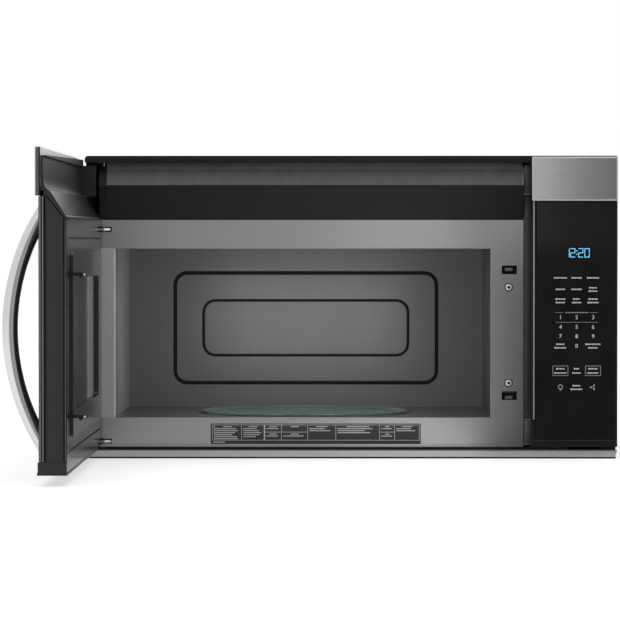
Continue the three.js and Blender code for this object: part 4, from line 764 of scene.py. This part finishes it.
class MICROWAVE_OT_face(bpy.types.Operator):
    """Screws with painted shade, catches, flange, painted gap shadows, the vent with painted light and shadow, and
    painted shade in the hinge slots on the face frame
    """

    bl_idname = "microwave.face"
    bl_label = "Face frame"

    def execute(self, context):
        size = context.scene.microwave_cabinet
        self.screws(size.screw_radius / MM, size.screw_height / MM)
        self.catches()
        self.left_side()
        self.flange()
        self.gap_shadows()
        self.vent()
        self.hinge_slot_shades()
        return {"FINISHED"}

    def screws(self, radius, height):
        heads, drive_shade, head_shadows = bmesh.new(), bmesh.new(), bmesh.new()
        ahead = (0, -1, 0)
        for z in (LATCH_HIGH - 46.9, LATCH_LOW + 40.1):
            centre = (LATCH_X - 0.9, FACE_Y - 0.3, z)
            screw(heads, centre, ahead, radius, height)
            # Painted shade: a black plug in each drive's recess.
            turned(drive_shade, [
                (0, height * 0.3), (radius * 0.36, height * 0.3), (radius * 0.46, height * 1.05), (0, height * 1.05),
            ], centre, ahead, 16)
            # Painted shadow: a dark ring round each head.
            turned(head_shadows, [(0, -0.25), (radius * 1.3, -0.25), (radius * 1.26, 0.12), (0, 0.12)], centre, ahead, 32)
        piece("face_screws", heads, "cabinet", "bright_edge")
        piece("face_screw_drives", drive_shade, "cabinet", "socket_black")
        piece("face_screw_seats", head_shadows, "cabinet", "socket_black")

    def catches(self):
        """A pale leaf behind each latch slot, and a grey lip across the slot's far side."""
        places = ((LATCH_HIGH - 21.5, -7.4), (LATCH_LOW + 18.6, 7.4))
        blocks("latch_catch_leaves", "cabinet", "white_back", [
            (LATCH_X - 5.6, LATCH_X + 5.6, FACE_Y + 22.6, FACE_Y + 25.2, z - 2.3, z + 2.3, 0.5) for z, _ in places])
        blocks("latch_catch_lips", "cabinet", "light_line", [
            (LATCH_X - 9.6, LATCH_X + 9.6, FACE_Y + 24, FACE_Y + 25, z + step - 1.2, z + step + 1.2, 0.3)
            for z, step in places])

    def left_side(self):
        """A thin bright liner between the door and the cavity's mouth, and the screws of the left side."""
        x = corner("face_frame", 0, 0) + 0.5
        blocks("face_left_liner", "cabinet", "liner_grey", (
            (x, CAVITY_LEFT - 1.2, FACE_Y - 0.12, FACE_Y + 0.1, CAVITY_FLOOR, CAVITY_TOP),
        ), smooth=False)
        bm = bmesh.new()
        for y in (FACE_Y + 22, WALL_Y - 12):
            for z in (24, TOP_Z / 2, TOP_Z - 20):
                screw(bm, (LEFT_X, y, z), (-1, 0, 0), 4, 1.3)
        piece("side_screws", bm, "cabinet", "zinc_plate")

    def flange(self):
        x1 = corner("face_frame", 1, 0)
        x0 = x1 - 10
        y = FACE_Y - 0.2
        foot_bottom, foot_top = 19.5, 54
        blocks("flange_cover", "cabinet", "flange_grey", (
            (x0 + 0.3, x1 - 0.1, y - 0.05, y + 0.4, 59, 377, 0.1),
        ))
        blocks("flange_lines", "cabinet", "socket_black", (
            (x0 + 0.2, x0 + 1.6, y - 0.4, y + 0.5, foot_bottom, 370, 0.3),
            (x0 + 2.2, x1 - 0.6, y, y + 0.5, 55.6, 58.6, 0.2),
        ))
        bm = bmesh.new()
        for vert in block(bm, x0 + 2.2, x1 - 0.5, y - 2.2, y + 0.5, foot_bottom, foot_top, 0.5):
            if vert.co.y < (y - 0.8) * MM and vert.co.z > (foot_top - 6) * MM:
                vert.co.y += 2 * MM
        piece("flange_foot", bm, "cabinet", "slope_grey")

    def gap_shadows(self):
        low, high = BOX["base_plate"]
        x0, x1 = corner("hinge_plate_lower", 1, 0) + 2, corner("face_frame", 1, 0)
        # Painted shade: a black strip in the gap between the face frame and the base plate.
        blocks("sill_seal", "cabinet", "socket_black", (
            (x0, x1, FACE_Y + 1.6, FACE_Y + 8, low.z + 1.5, high.z + 1.2, 0.5),
        ))
        # Painted shadow: dark lines along the lip's lower edge, as a contact shadow, and along its upper edge, as the
        # gap's shade.
        blocks("lip_lines", "cabinet", "socket_black", [
            (low.x + 2.9, high.x - 2.9, low.y - 0.15, low.y + 0.2, z0, z1, 0.1)
            for z0, z1 in ((low.z + 0.05, low.z + 2.4), (high.z - 1.6, high.z - 0.1))])

    def vent(self):
        """Painted light on the black vent: a grey band over its upper slope for the light that slope catches, pale
        bars across its slot, dark ends, and a painted shadow strip under it.
        """
        low, high = BOX["vent_grille"]
        foot, nose = Vector((0, FACE_Y - 1.5, low.z)), Vector((0, low.y, TOP_Z - 42))
        top = Vector((0, FACE_Y - 5, high.z))
        start, left, right = low.x + 0.4, low.x + 11, high.x - 0.4
        # Painted light: a grey plate stands for the light that the upward slope catches.
        self.slopes("vent_band", "black_plastic", "vent_grey", ((left, right, nose, top),))
        self.slopes("vent_end_plates", "black_plastic", "socket_black", (
            (start, left - 0.3, nose, top), (start, left - 0.3, foot, nose - Vector((0, 0, 2))),
        ))
        self.slopes("vent_end_line", "zinc_plate", "light_line", ((right - 1.4, right - 0.2, nose, top, 0.5),))
        x0, x1 = high.x + 0.3, corner("control_panel_frame", 0, 0) - 0.1
        blocks("vent_end_cover", "cabinet", "flange_grey", (
            (x0, x1, FACE_Y - 12, FACE_Y - 10, 379, TOP_Z - 12.5, 0.3),
        ))
        pitch, width = 3.5, 3
        rise = (top - nose).normalized() * 5.4
        places = [left + index * pitch for index in range(int((right - left) / pitch))]
        # Painted light: pale bars lighten the slot in the rail's shade.
        self.slopes("vent_slot_bars", "black_plastic", "vent_pale", [
            (x, x + width, top - rise, top + rise, 0.45, 0) for x in places], smooth=False)
        # Painted shadow: a black strip under the vent's lower edge.
        blocks("vent_seal", "cabinet", "socket_black", (
            (low.x + 0.5, high.x, FACE_Y - 1.2, FACE_Y + 0.5, low.z - 2, low.z + 0.2, 0.3),
        ))

    def slopes(self, name, slot, finish, rows, smooth=True):
        bm = bmesh.new()
        for row in rows:
            self.slope_plate(bm, *row)
        piece(name, bm, "cabinet", finish, smooth=smooth)

    def slope_plate(self, bm, x0, x1, start, end, thick=0.35, inset=0.3):
        """Lays a thin plate on a slope that runs along X, from a lower to a higher point."""
        run = end - start
        part = bmesh.new()
        block(part, x0, x1, -thick, 0.02, inset, run.length - inset)
        merged(bm, part, move(*start) @ Matrix.Rotation(-atan2(run.y, run.z), 4, "X"))

    def hinge_slot_shades(self):
        """Painted shade: dark blocks on the hinge arms in their slots, which leave their bright ends bare."""
        rows = []
        for name in ("hinge_plate_upper", "hinge_plate_lower"):
            low, high = BOX[name]
            arm, z = high.x - 16, (low.z + high.z) / 2
            rows.append((arm - 0.6, arm + 8, FACE_Y - 6.5, FACE_Y + 4, z - 2.3, z + 2.3, 0.4))
        # Painted shade: black blocks stand for the shade in the hinge slots.
        blocks("hinge_arm_sleeves", "cabinet", "socket_black", rows)


# ---------------------------------------------------------------- guide plate


class MICROWAVE_OT_guide(bpy.types.Operator):
    """The dark guide plate on the sill: a bare grid with bars where the lines of print would be"""

    bl_idname = "microwave.guide"
    bl_label = "Guide plate"

    def execute(self, context):
        size = context.scene.microwave_guide
        left, right, bottom, top = (value / MM for value in (size.left, size.right, size.bottom, size.top))
        back = FACE_Y - 0.05
        self.front = back - 0.35
        bm = bmesh.new()
        upright(bm, left, right, bottom, top, self.front, back, 0.8, 0.1)
        piece("guide_plate", bm, "cabinet", "guide_plate")
        self.print(left, right, bottom, top)
        return {"FINISHED"}

    def mark(self, bm, x0, x1, z0, z1):
        block(bm, x0, x1, self.front - 0.1, self.front + 0.02, z0, z1)

    def print(self, left, right, bottom, top):
        """The grid's lines, and the bars in its cells. Some cells have a line across, with two bars under it."""
        x0, x1, z0, z1 = left + 3.4, right - 1.7, bottom + 5.1, top - 1.6
        fine = 0.7
        rules, bars = bmesh.new(), bmesh.new()
        upright(rules, x0 - 1.1, x1, z0, z1, self.front - 0.1, self.front + 0.02, 0.3, 0, fine)
        places = [left + share * (right - left) for share in (0.147, 0.256, 0.337, 0.462, 0.596, 0.804, 0.876)]
        for index, x in enumerate(places):
            half = 0.9 if index == 1 else fine / 2
            self.mark(rules, x - half, x + half, z0, z1)
        self.mark(rules, x0 + 1.4, x0 + 1.4 + fine, z0, z1)
        edges = [x0, *places, x1]
        middle = z0 + (z1 - z0) * 0.53
        parted = (2, 3, 6)
        for cell in parted:
            self.mark(rules, edges[cell], edges[cell + 1], middle - fine / 2, middle + fine / 2)
        piece("guide_rules", rules, "cabinet", "print")
        counts = (7, 6, 2, 1, 3, 4, 2, 3)
        for cell, head, count, seed in (
            *((cell, z1, count, cell) for cell, count in enumerate(counts)),
            *((cell, middle, 2, cell + 3) for cell in parted),
        ):
            self.cell(bars, edges[cell] + 2.6, edges[cell + 1] - 2.2, head, count, seed)
        self.mark(bars, x0, x0 + 17, bottom + 1.8, bottom + 3.2)
        piece("guide_bars", bars, "cabinet", "print")

    def cell(self, bm, x0, x1, top, count, seed):
        height, pitch = 1.3, 2.9
        width = x1 - x0
        heading = width * (0.36 + 0.1 * (seed % 3))
        middle = (x0 + x1) / 2
        z = top - 3.4
        self.mark(bm, middle - heading / 2, middle + heading / 2, z, z + height)
        for row in range(1, count):
            z -= pitch
            self.mark(bm, x0, x0 + width * (0.62 + 0.3 * abs(sin(row * 2.3 + seed))), z, z + height)


# ---------------------------------------------------------------- control panel


class MICROWAVE_OT_panel_trim(bpy.types.Operator):
    """The steel bands with their rounded edges and a painted highlight border, the glass fronts, and the thin lines
    round the panel's glass, with a painted highlight and painted shade at its left edge
    """

    bl_idname = "microwave.panel_trim"
    bl_label = "Bands and panel trim"

    def execute(self, context):
        edge = context.scene.microwave_cabinet.band_edge / MM
        (x0, y0, _), (x1, y1, z1) = BOX["control_top_band"]
        front = y0 - BAND_PROUD
        blocks("control_band_plate", "cabinet", "steel_x", (
            (x0, x1, front, y1, BAND_FOOT, z1, edge, 3),
        ), ("control_top_band",), smooth=False)
        # Painted highlight: a brighter border round the band's front stands for light on its edges.
        bm = bmesh.new()
        upright(bm, x0 + 0.5, x1 - 0.5, BAND_FOOT + 0.5, z1 - 0.5, front - 0.12, front + 0.3, 0.6, 0, 1.3)
        piece("control_band_border", bm, "cabinet", "steel_border")
        (x0, y0, z0), (x1, y1, z1) = BOX["door_top_band"]
        front = x0 - BAND_PROUD
        end = y0, y0 + 1, BAND_FOOT + 0.6, z1 - 1.2
        blocks("door_band_plate", "door", "steel_y", (
            (front, x1, y0 + 0.4, y1, BAND_FOOT, z1, edge, 3),
        ), ("door_top_band",), smooth=False)
        blocks("door_band_back", "door", "white_back", (
            (x1 - 0.05, x1 + 0.2, y0 + 1, y1 - 0.5, z0 + 2, z1 - 1.4),
        ))
        blocks("door_band_end", "door", "slope_grey", ((front + 1.3, x1 - 2, *end),), smooth=False)
        blocks("door_band_end_shadow", "door", "socket_black", (
            (x1 - 1.9, x1 - 0.1, *end),
        ), smooth=False)
        self.glasses()
        self.lines()
        return {"FINISHED"}

    def glasses(self):
        """The two glass fronts, with ground edges."""
        (x0, _, z0), (x1, y1, _) = BOX["control_glass"]
        blocks("control_glass_pane", "cabinet", "black_glass", (
            (x0, x1, GLASS_Y, y1, z0, PANE_TOP, 0.7, 3),
        ), ("control_glass",), smooth=False)
        (_, y0, z0), (x1, y1, _) = BOX["door_outer_glass"]
        blocks("door_glass_pane", "door", "black_glass", (
            (DOOR_X, x1, y0 + 0.4, y1, z0, PANE_TOP, 0.7, 3),
        ), ("door_outer_glass",), smooth=False)

    def lines(self):
        (left, y, bottom), (right, _, _) = BOX["control_panel_frame"]
        under = corner("control_glass", 0, 2)
        near, far, top = y - 0.3, y + 0.3, BAND_FOOT - 0.4
        upright_line = near, far, bottom + 1, top, 0.15
        # Painted highlight and shade: a pale strip and two black strips stand for light and shade on the panel's
        # rounded left edge.
        blocks("panel_edge_bead", "cabinet", "faint_print", (
            (left + 2.2, left + 4.2, y - 1.6, far, 56, top, 0.5),
        ))
        blocks("panel_edge_grooves", "cabinet", "socket_black", (
            (left + 0.1, left + 1.9, *upright_line), (left + 4.4, left + 6.4, *upright_line),
        ))
        blocks("panel_lines", "cabinet", "panel_line", (
            (right - 1.4, right - 0.3, *upright_line),
            (left + 2, right - 2, near, far, under - 1.6, under - 0.4, 0.15),
        ))


SEGMENTS = {"0": "abcdef", "1": "bc", "2": "abged"}


class MICROWAVE_OT_keypad(bpy.types.Operator):
    """The print on the panel's glass: number keys, bars for the other keys, two icons and the lit clock"""

    bl_idname = "microwave.keypad"
    bl_label = "Keypad and clock"

    def execute(self, context):
        size = context.scene.microwave_keypad
        self.columns = [x / MM for x in size.columns]
        self.line, self.proud = size.line_height / MM, size.proud / MM
        self.front, self.back = GLASS_Y - self.proud, GLASS_Y + 0.02
        self.clock(size.clock_height / MM)
        bright, faint = bmesh.new(), bmesh.new()
        for text, z in (("123", 201.8), ("456", 188.1), ("789", 174.7), (" 0 ", 160.9)):
            for x, digit in zip(self.columns, text):
                if digit != " ":
                    self.digit(bright, digit, x, z, size.digit_height / MM)
        self.labels(bright)
        self.rules(faint)
        self.icons(faint)
        piece("key_print", bright, "cabinet", "print", smooth=False)
        piece("key_rules", faint, "cabinet", "faint_print", smooth=False)
        return {"FINISHED"}

    def mark(self, bm, x0, x1, z0, z1):
        block(bm, x0, x1, self.front, self.back, z0, z1)

    def bar(self, bm, x0, x1, z, height):
        self.mark(bm, x0, x1, z - height / 2, z + height / 2)

    def clock(self, height):
        bm = bmesh.new()
        low = 287
        for digit, x0, x1 in (("1", 305.6, 311.5), ("2", 312.6, 319.7), ("2", 323.9, 331.0), ("0", 332.8, 340.0)):
            self.segments(bm, digit, x0, x1, low, low + height, 0.92)
        for share in (0.28, 0.66):
            z = low + share * height
            self.mark(bm, 321.0, 322.5, z, z + 1.6)
        piece("clock_digits", bm, "cabinet", "clock", smooth=False)

    def segments(self, bm, digit, x0, x1, low, high, thick):
        middle = (low + high) / 2
        hair = 0.25
        across = x0 + hair, x1 - hair
        upper, lower = (middle + hair, high - hair), (low + hair, middle - hair)
        spans = {
            "a": (*across, high - thick, high),
            "g": (*across, middle - thick / 2, middle + thick / 2),
            "d": (*across, low, low + thick),
            "f": (x0, x0 + thick, *upper),
            "b": (x1 - thick, x1, *upper),
            "e": (x0, x0 + thick, *lower),
            "c": (x1 - thick, x1, *lower),
        }
        for letter in SEGMENTS[digit]:
            self.mark(bm, *spans[letter])

    def digit(self, bm, digit, x, z, height):
        """Adds one number key's digit, from the built-in type, centred on a place."""
        curve = bpy.data.curves.new("digit", "FONT")
        curve.body = digit
        curve.size = height * 1.36 * MM
        curve.extrude = self.proud / 2 * MM
        curve.offset = 0.06 * MM
        curve.resolution_u = 6
        text = bpy.data.objects.new("digit", curve)
        bpy.context.scene.collection.objects.link(text)
        bpy.context.view_layer.update()
        mesh = bpy.data.meshes.new_from_object(text)
        bpy.data.objects.remove(text)
        bpy.data.curves.remove(curve)
        xs, ys = ([vert.co[axis] for vert in mesh.vertices] for axis in (0, 1))
        middle = Vector(((min(xs) + max(xs)) / 2, 0, (min(ys) + max(ys)) / 2))
        place = Matrix.Translation(-middle) @ move(x, self.front + self.proud / 2, z)
        mesh.transform(place @ Matrix.Rotation(pi / 2, 4, "X"))
        bm.from_mesh(mesh)
        bpy.data.meshes.remove(mesh)

    def labels(self, bm):
        """The words on the keys, as widths of bars in each column. 0 leaves a column out."""
        for z, *widths in (
            (257.9, 18.5, 14.6, 17.4), (241.6, 13.4, 15.3, 0), (243.7, 0, 0, 11.3), (239.0, 0, 0, 12.4),
            (227.7, 14.6, 10.2, 13.1), (222.7, 13.0, 13.1, 16.4), (163.4, 12.1, 0, 21.6), (158.2, 17.2, 0, 13.4),
            (128.4, 12.2, 7.6, 13.1), (122.4, 17.5, 12.2, 15.5), (104.3, 0, 10.9, 0), (99.2, 0, 16.8, 0),
        ):
            for x, width in zip(self.columns, widths):
                if width:
                    self.words(bm, x, width, z)

    def words(self, bm, x, width, z):
        """A line of print as short bars, as it reads from afar."""
        count = max(2, round(width / 2.3))
        pitch = width / count
        for index in range(count):
            start = x - width / 2 + index * pitch
            tall = 1.25 if index == 0 else 0.8 + 0.12 * (index % 3)
            self.bar(bm, start, start + pitch * 0.8, z, self.line * tall)

    def rules(self, bm):
        """The lines round the number keys and the frames of two keys."""
        for z, x0, x1 in ((208.5, 291.5, 302.8), (208.5, 340.3, 352.0), (194.7, 292.5, 351.7)):
            self.bar(bm, x0, x1, z, 0.5)
        for index in range(12):
            start = 305.6 + index * 2.75
            self.bar(bm, start, start + 1.9, 208.5, 1.5)
        for x in (self.columns[0], self.columns[2]):
            upright(bm, x - 11.1, x + 11.1, 118.3, 132.8, self.front, self.back, 0.8, 0, 0.75)

    def icons(self, bm):
        left, _, right = self.columns
        z = 102.2
        upright(bm, left - 3.6, left + 3.6, z - 3.2, z + 4, self.front, self.back, 3.55, 0, 1.3)
        self.mark(bm, left - 1.2, left + 1.2, z - 4.6, z - 3)
        for index in range(3):
            turn = move(right, 0, z) @ Matrix.Rotation(index * 2 * pi / 3 + 0.5, 4, "Y")
            upright(bm, -1.1, 1.1, 0.9, 4.6, self.front, self.back, 1, matrix=turn)


# ---------------------------------------------------------------- door


class MICROWAVE_OT_door(bpy.types.Operator):
    """Lines on the door's latch end with painted highlights, trim on its inner side with a painted reflection and
    painted groove shade, its riser and lip, and bright pins at the hooks' tips as painted glints
    """

    bl_idname = "microwave.door"
    bl_label = "Door trim"

    def execute(self, context):
        inner = corner("door_chassis", 1, 0)
        slope_foot = corner("door_outer_glass", 1, 2) - 33
        self.end_lines(inner, slope_foot)
        self.inner_side(inner, slope_foot)
        self.edges()
        self.hook_tips()
        return {"FINISHED"}

    def end_lines(self, inner, slope_foot):
        """Fine painted highlight lines and dark lines down the latch end, and a ground glass edge."""
        bottom, top = corner("door_outer_glass", 0, 2) + 0.5, BAND_FOOT - 0.9
        y0, y1 = DOOR_END_Y, DOOR_END_Y + 0.6
        light, dark, part = bmesh.new(), bmesh.new(), bmesh.new()
        for bm, start, width in ((light, 1.3, 1.2), (light, 5.0, 1.1), (dark, 3.3, 1.1), (dark, 7.4, 1.6)):
            block(bm, DOOR_X + start, DOOR_X + start + width, y0, y1, bottom, top)
        block(light, inner - 1.9, inner - 0.6, y0, y1, bottom, slope_foot)
        block(dark, inner - 4.3, inner - 3, y0, y1, bottom, slope_foot - 1)
        run = Vector((-23.6, 0, 29.5))
        block(part, 0, 1.3, y0, y1, 0, run.length)
        merged(dark, part, move(inner - 4.3, 0, slope_foot - 1) @ Matrix.Rotation(atan2(run.x, run.z), 4, "Y"))
        # Painted highlight: pale lines where the end's edges catch light.
        piece("door_end_light_lines", light, "door", "light_line", smooth=False)
        piece("door_end_dark_lines", dark, "door", "socket_black", smooth=False)
        blocks("door_glass_end", "door", "edge_grey", (
            (DOOR_X + 0.8, DOOR_X + 6.2, y0 + 0.05, y1, bottom, top),
        ), smooth=False)

    def inner_side(self, inner, slope_foot):
        """The slope's grey plate as a painted reflection on the black slope, and two painted shade lines in the
        pressed groove.
        """
        near, far = DOOR_END_Y, corner("door_chassis", 1, 1)
        bm, part = bmesh.new(), bmesh.new()
        block(part, -0.02, 0.3, near + 1, far - 2, 0.4, 42, 0.1)
        merged(bm, part, move(inner, 0, slope_foot) @ Matrix.Rotation(atan2(-27, 33), 4, "Y"))
        # Painted reflection: a grey plate stands for the pale surroundings mirrored in the glossy black slope.
        piece("door_slope_plate", bm, "door", "slope_grey")
        # Painted shade: dark lines in the pressed groove.
        blocks("door_groove_lines", "door", "socket_black", [
            (inner - 0.4, inner + 0.1, near + 14, far - 12, z - 1, z + 1)
            for z in (CAVITY_TOP + 14, CAVITY_FLOOR - 14)], smooth=False)

    def edges(self):
        """A riser on the deflector, higher towards the hinge, and the lip under the bottom trim."""
        low, high = BOX["door_deflector"]
        bm = bmesh.new()
        for vert in block(bm, low.x + 0.1, low.x + 8, low.y + 1, high.y - 1, high.z - 1, high.z + 0.6):
            if vert.co.y > (low.y + high.y) / 2 * MM and vert.co.z > high.z * MM:
                vert.co.z += 8 * MM
        piece("door_deflector_riser", bm, "door", "deflector_black", smooth=False)
        low, high = BOX["door_bottom_trim"]
        blocks("door_bottom_lip", "door", "door_black", (
            (low.x - 1, high.x + 0.6, low.y, high.y - 70, 14.2, low.z + 1, 0.8),
        ))

    def hook_tips(self):
        # Painted glints: bright pins at the hooks' tips.
        low, high = BOX["latch_bar"]
        bm = bmesh.new()
        for z in (low.z + 11.3, high.z - 8.7):
            turned(bm, [
                (0, -3.4), (1, -3.4), (1.3, -3), (1.3, 3), (1, 3.4), (0, 3.4),
            ], (high.x - 1.6, (low.y + high.y) / 2, z), (0, 1, 0), 20)
        piece("hook_tip_pins", bm, "latch", "bright_edge")


# ---------------------------------------------------------------- studio, in metres


def aimed(obj, place, target):
    obj.location = place
    obj.rotation_euler = (Vector(target) - Vector(place)).to_track_quat("-Z", "Y").to_euler()
    bpy.context.scene.collection.objects.link(obj)


def area_light(name, place, target, size, power, size_y=None):
    data = bpy.data.lights.new(name, "AREA")
    data.shape = "RECTANGLE"
    data.size = size
    data.size_y = size_y or size
    data.energy = power
    light = bpy.data.objects.new(name, data)
    light.visible_camera = False
    aimed(light, place, target)


def sheet(name, finish, matrix):
    """Adds a flat sheet to the stage: a square of 1 m that a matrix stretches and places."""
    bm = bmesh.new()
    bmesh.ops.create_grid(bm, x_segments=1, y_segments=1, size=0.5)
    bmesh.ops.transform(bm, matrix=matrix, verts=bm.verts[:])
    obj = object_from(bm, name, finish.material)
    return obj


def seen_through(nodes, links):
    """1 where a ray comes from the camera, a reflection or a transmission."""
    path = nodes.new("ShaderNodeLightPath")
    total = path.outputs["Is Camera Ray"]
    for ray in ("Is Glossy Ray", "Is Transmission Ray"):
        node = nodes.new("ShaderNodeMath")
        node.operation = "MAXIMUM"
        links.new(total, node.inputs[0])
        links.new(path.outputs[ray], node.inputs[1])
        total = node.outputs["Value"]
    return total


class MICROWAVE_OT_stage(bpy.types.Operator):
    """Floor, white backdrop, soft lights, the cards that only reflections see, and the camera"""

    bl_idname = "microwave.stage"
    bl_label = "Studio and camera"

    def execute(self, context):
        scene = context.scene
        stage = scene.microwave_stage
        scene.world = self.backdrop(stage)
        self.floor()
        middle = (0, -0.1, 0.2)
        area_light("key_light", (-1.6, -3.6, 3.0), middle, 2.6, 22)
        area_light("mouth_light", (-0.07, -0.16, 0.19), (-0.07, 0.1, 0.18), 0.3, 0.4, 0.14)
        area_light("right_light", (3.4, -1.6, 1.6), middle, 2.2, 8)
        area_light("top_light", (0, 0.2, 3.6), middle, 3.0, 24)
        steps = (
            (-0.46, 0.38), (-0.41, 0.42), (-0.25, 0.5), (-0.05, 0.55), (0.05, 0.9), (0.172, 1.0), (0.212, 0.03),
            (0.62, 0.03))
        self.card("face_card", 0, 0.8, Matrix.Translation((0, -0.95, 0)) @ UPRIGHT, steps)
        self.card(
            "sill_card", -0.95, -0.26, Matrix.Translation((0, 0, 0.0005)), [(x, 1.3 * power) for x, power in steps])
        self.card("band_card", 0.3, 0.64, Matrix.Translation((0, -0.94, 0)) @ UPRIGHT, (
            (0.25, 1.0), (0.3, 0.82), (0.335, 0.5), (0.37, 0.36), (0.42, 0.22), (0.8, 0.16)))
        data = bpy.data.cameras.new("camera")
        data.lens = stage.lens
        data.sensor_width = 36
        data.clip_end = 200
        scene.camera = bpy.data.objects.new("camera", data)
        aimed(scene.camera, stage.camera_place, stage.camera_target)
        scene.view_settings.view_transform = "Standard"
        return {"FINISHED"}

    def backdrop(self, stage):
        """The world: one strength as fill, another where it is seen."""
        world = bpy.data.worlds.new("studio")
        world.use_nodes = True
        nodes, links = world.node_tree.nodes, world.node_tree.links
        nodes.clear()
        mix = nodes.new("ShaderNodeMixShader")
        output = nodes.new("ShaderNodeOutputWorld")
        for index, strength in ((1, stage.fill), (2, stage.backdrop)):
            node = nodes.new("ShaderNodeBackground")
            node.inputs["Color"].default_value = (1, 1, 1, 1)
            node.inputs["Strength"].default_value = strength
            links.new(node.outputs["Background"], mix.inputs[index])
        links.new(seen_through(nodes, links), mix.inputs["Fac"])
        links.new(mix.outputs["Shader"], output.inputs["Surface"])
        return world

    def card(self, name, y0, y1, place, steps):
        """A glowing card before the object, with its strength in steps along X."""
        x0, x1 = steps[0][0], steps[-1][0]
        finish = Finish(name, (0, 0, 0), 1.0)
        split = finish.add("ShaderNodeSeparateXYZ")
        finish.links.new(finish.coordinates, split.inputs["Vector"])
        ramp = finish.add("ShaderNodeValToRGB")
        stops = ramp.color_ramp.elements
        for stop, (_, strength) in ((stops[0], steps[0]), (stops[-1], steps[-1])):
            stop.color = (strength, strength, strength, 1)
        for x, strength in steps[1:-1]:
            stops.new((x - x0) / (x1 - x0)).color = (strength, strength, strength, 1)
        glow = finish.add("ShaderNodeEmission")
        finish.links.new(finish.ranged(split.outputs["X"], 0.0, 1.0, x0, x1), ramp.inputs["Fac"])
        finish.links.new(ramp.outputs["Color"], glow.inputs["Color"])
        finish.links.new(glow.outputs["Emission"], finish.nodes["Material Output"].inputs["Surface"])
        middle = Matrix.Translation(((x0 + x1) / 2, (y0 + y1) / 2, 0))
        card = sheet(name, finish, place @ middle @ Matrix.Diagonal((x1 - x0, y1 - y0, 1, 1)))
        for kind in ("camera", "diffuse", "transmission", "volume_scatter", "shadow"):
            setattr(card, f"visible_{kind}", False)

    def floor(self):
        finish = Finish("floor_paper", (0.86, 0.86, 0.86), 0.9)
        finish.shade(finish.noise(3, 2), 0.01)
        links = finish.links
        glow = finish.add("ShaderNodeEmission", in_Color=(1, 1, 1, 1))
        strength = finish.add("ShaderNodeMath", operation="MULTIPLY")
        strength.inputs[1].default_value = 0.5
        links.new(seen_through(finish.nodes, links), strength.inputs[0])
        links.new(strength.outputs["Value"], glow.inputs["Strength"])
        both = finish.add("ShaderNodeAddShader")
        links.new(finish.surface.outputs["BSDF"], both.inputs[0])
        links.new(glow.outputs["Emission"], both.inputs[1])
        links.new(both.outputs["Shader"], finish.nodes["Material Output"].inputs["Surface"])
        sheet("floor", finish, Matrix.Diagonal((80, 80, 1, 1)))


# ---------------------------------------------------------------- panel and start


OPERATORS = (
    MICROWAVE_OT_stage,
    MICROWAVE_OT_finishes,
    MICROWAVE_OT_handle,
    MICROWAVE_OT_tray,
    MICROWAVE_OT_cavity,
    MICROWAVE_OT_face,
    MICROWAVE_OT_guide,
    MICROWAVE_OT_panel_trim,
    MICROWAVE_OT_keypad,
    MICROWAVE_OT_door,
)


class MICROWAVE_PT_panel(bpy.types.Panel):
    """Lists the steps that dress the microwave"""

    bl_label = "Microwave"
    bl_idname = "MICROWAVE_PT_panel"
    bl_space_type = "VIEW_3D"
    bl_region_type = "UI"
    bl_category = "Microwave"

    def draw(self, context):
        for operator in OPERATORS:
            self.layout.operator(operator.bl_idname)


def register():
    for settings in SETTINGS.values():
        bpy.utils.register_class(settings)
    for name, settings in SETTINGS.items():
        setattr(bpy.types.Scene, name, bpy.props.PointerProperty(type=settings))
    for operator in (*OPERATORS, MICROWAVE_PT_panel):
        bpy.utils.register_class(operator)


def unregister():
    for operator in reversed((*OPERATORS, MICROWAVE_PT_panel)):
        bpy.utils.unregister_class(operator)
    for name in SETTINGS:
        delattr(bpy.types.Scene, name)
    for settings in reversed(tuple(SETTINGS.values())):
        bpy.utils.unregister_class(settings)


def main():
    register()
    for operator in OPERATORS:
        group, name = operator.bl_idname.split(".")
        if getattr(getattr(bpy.ops, group), name)() != {"FINISHED"}:
            raise RuntimeError(f"{operator.bl_label} did not finish")


if __name__ == "__main__":
    main()
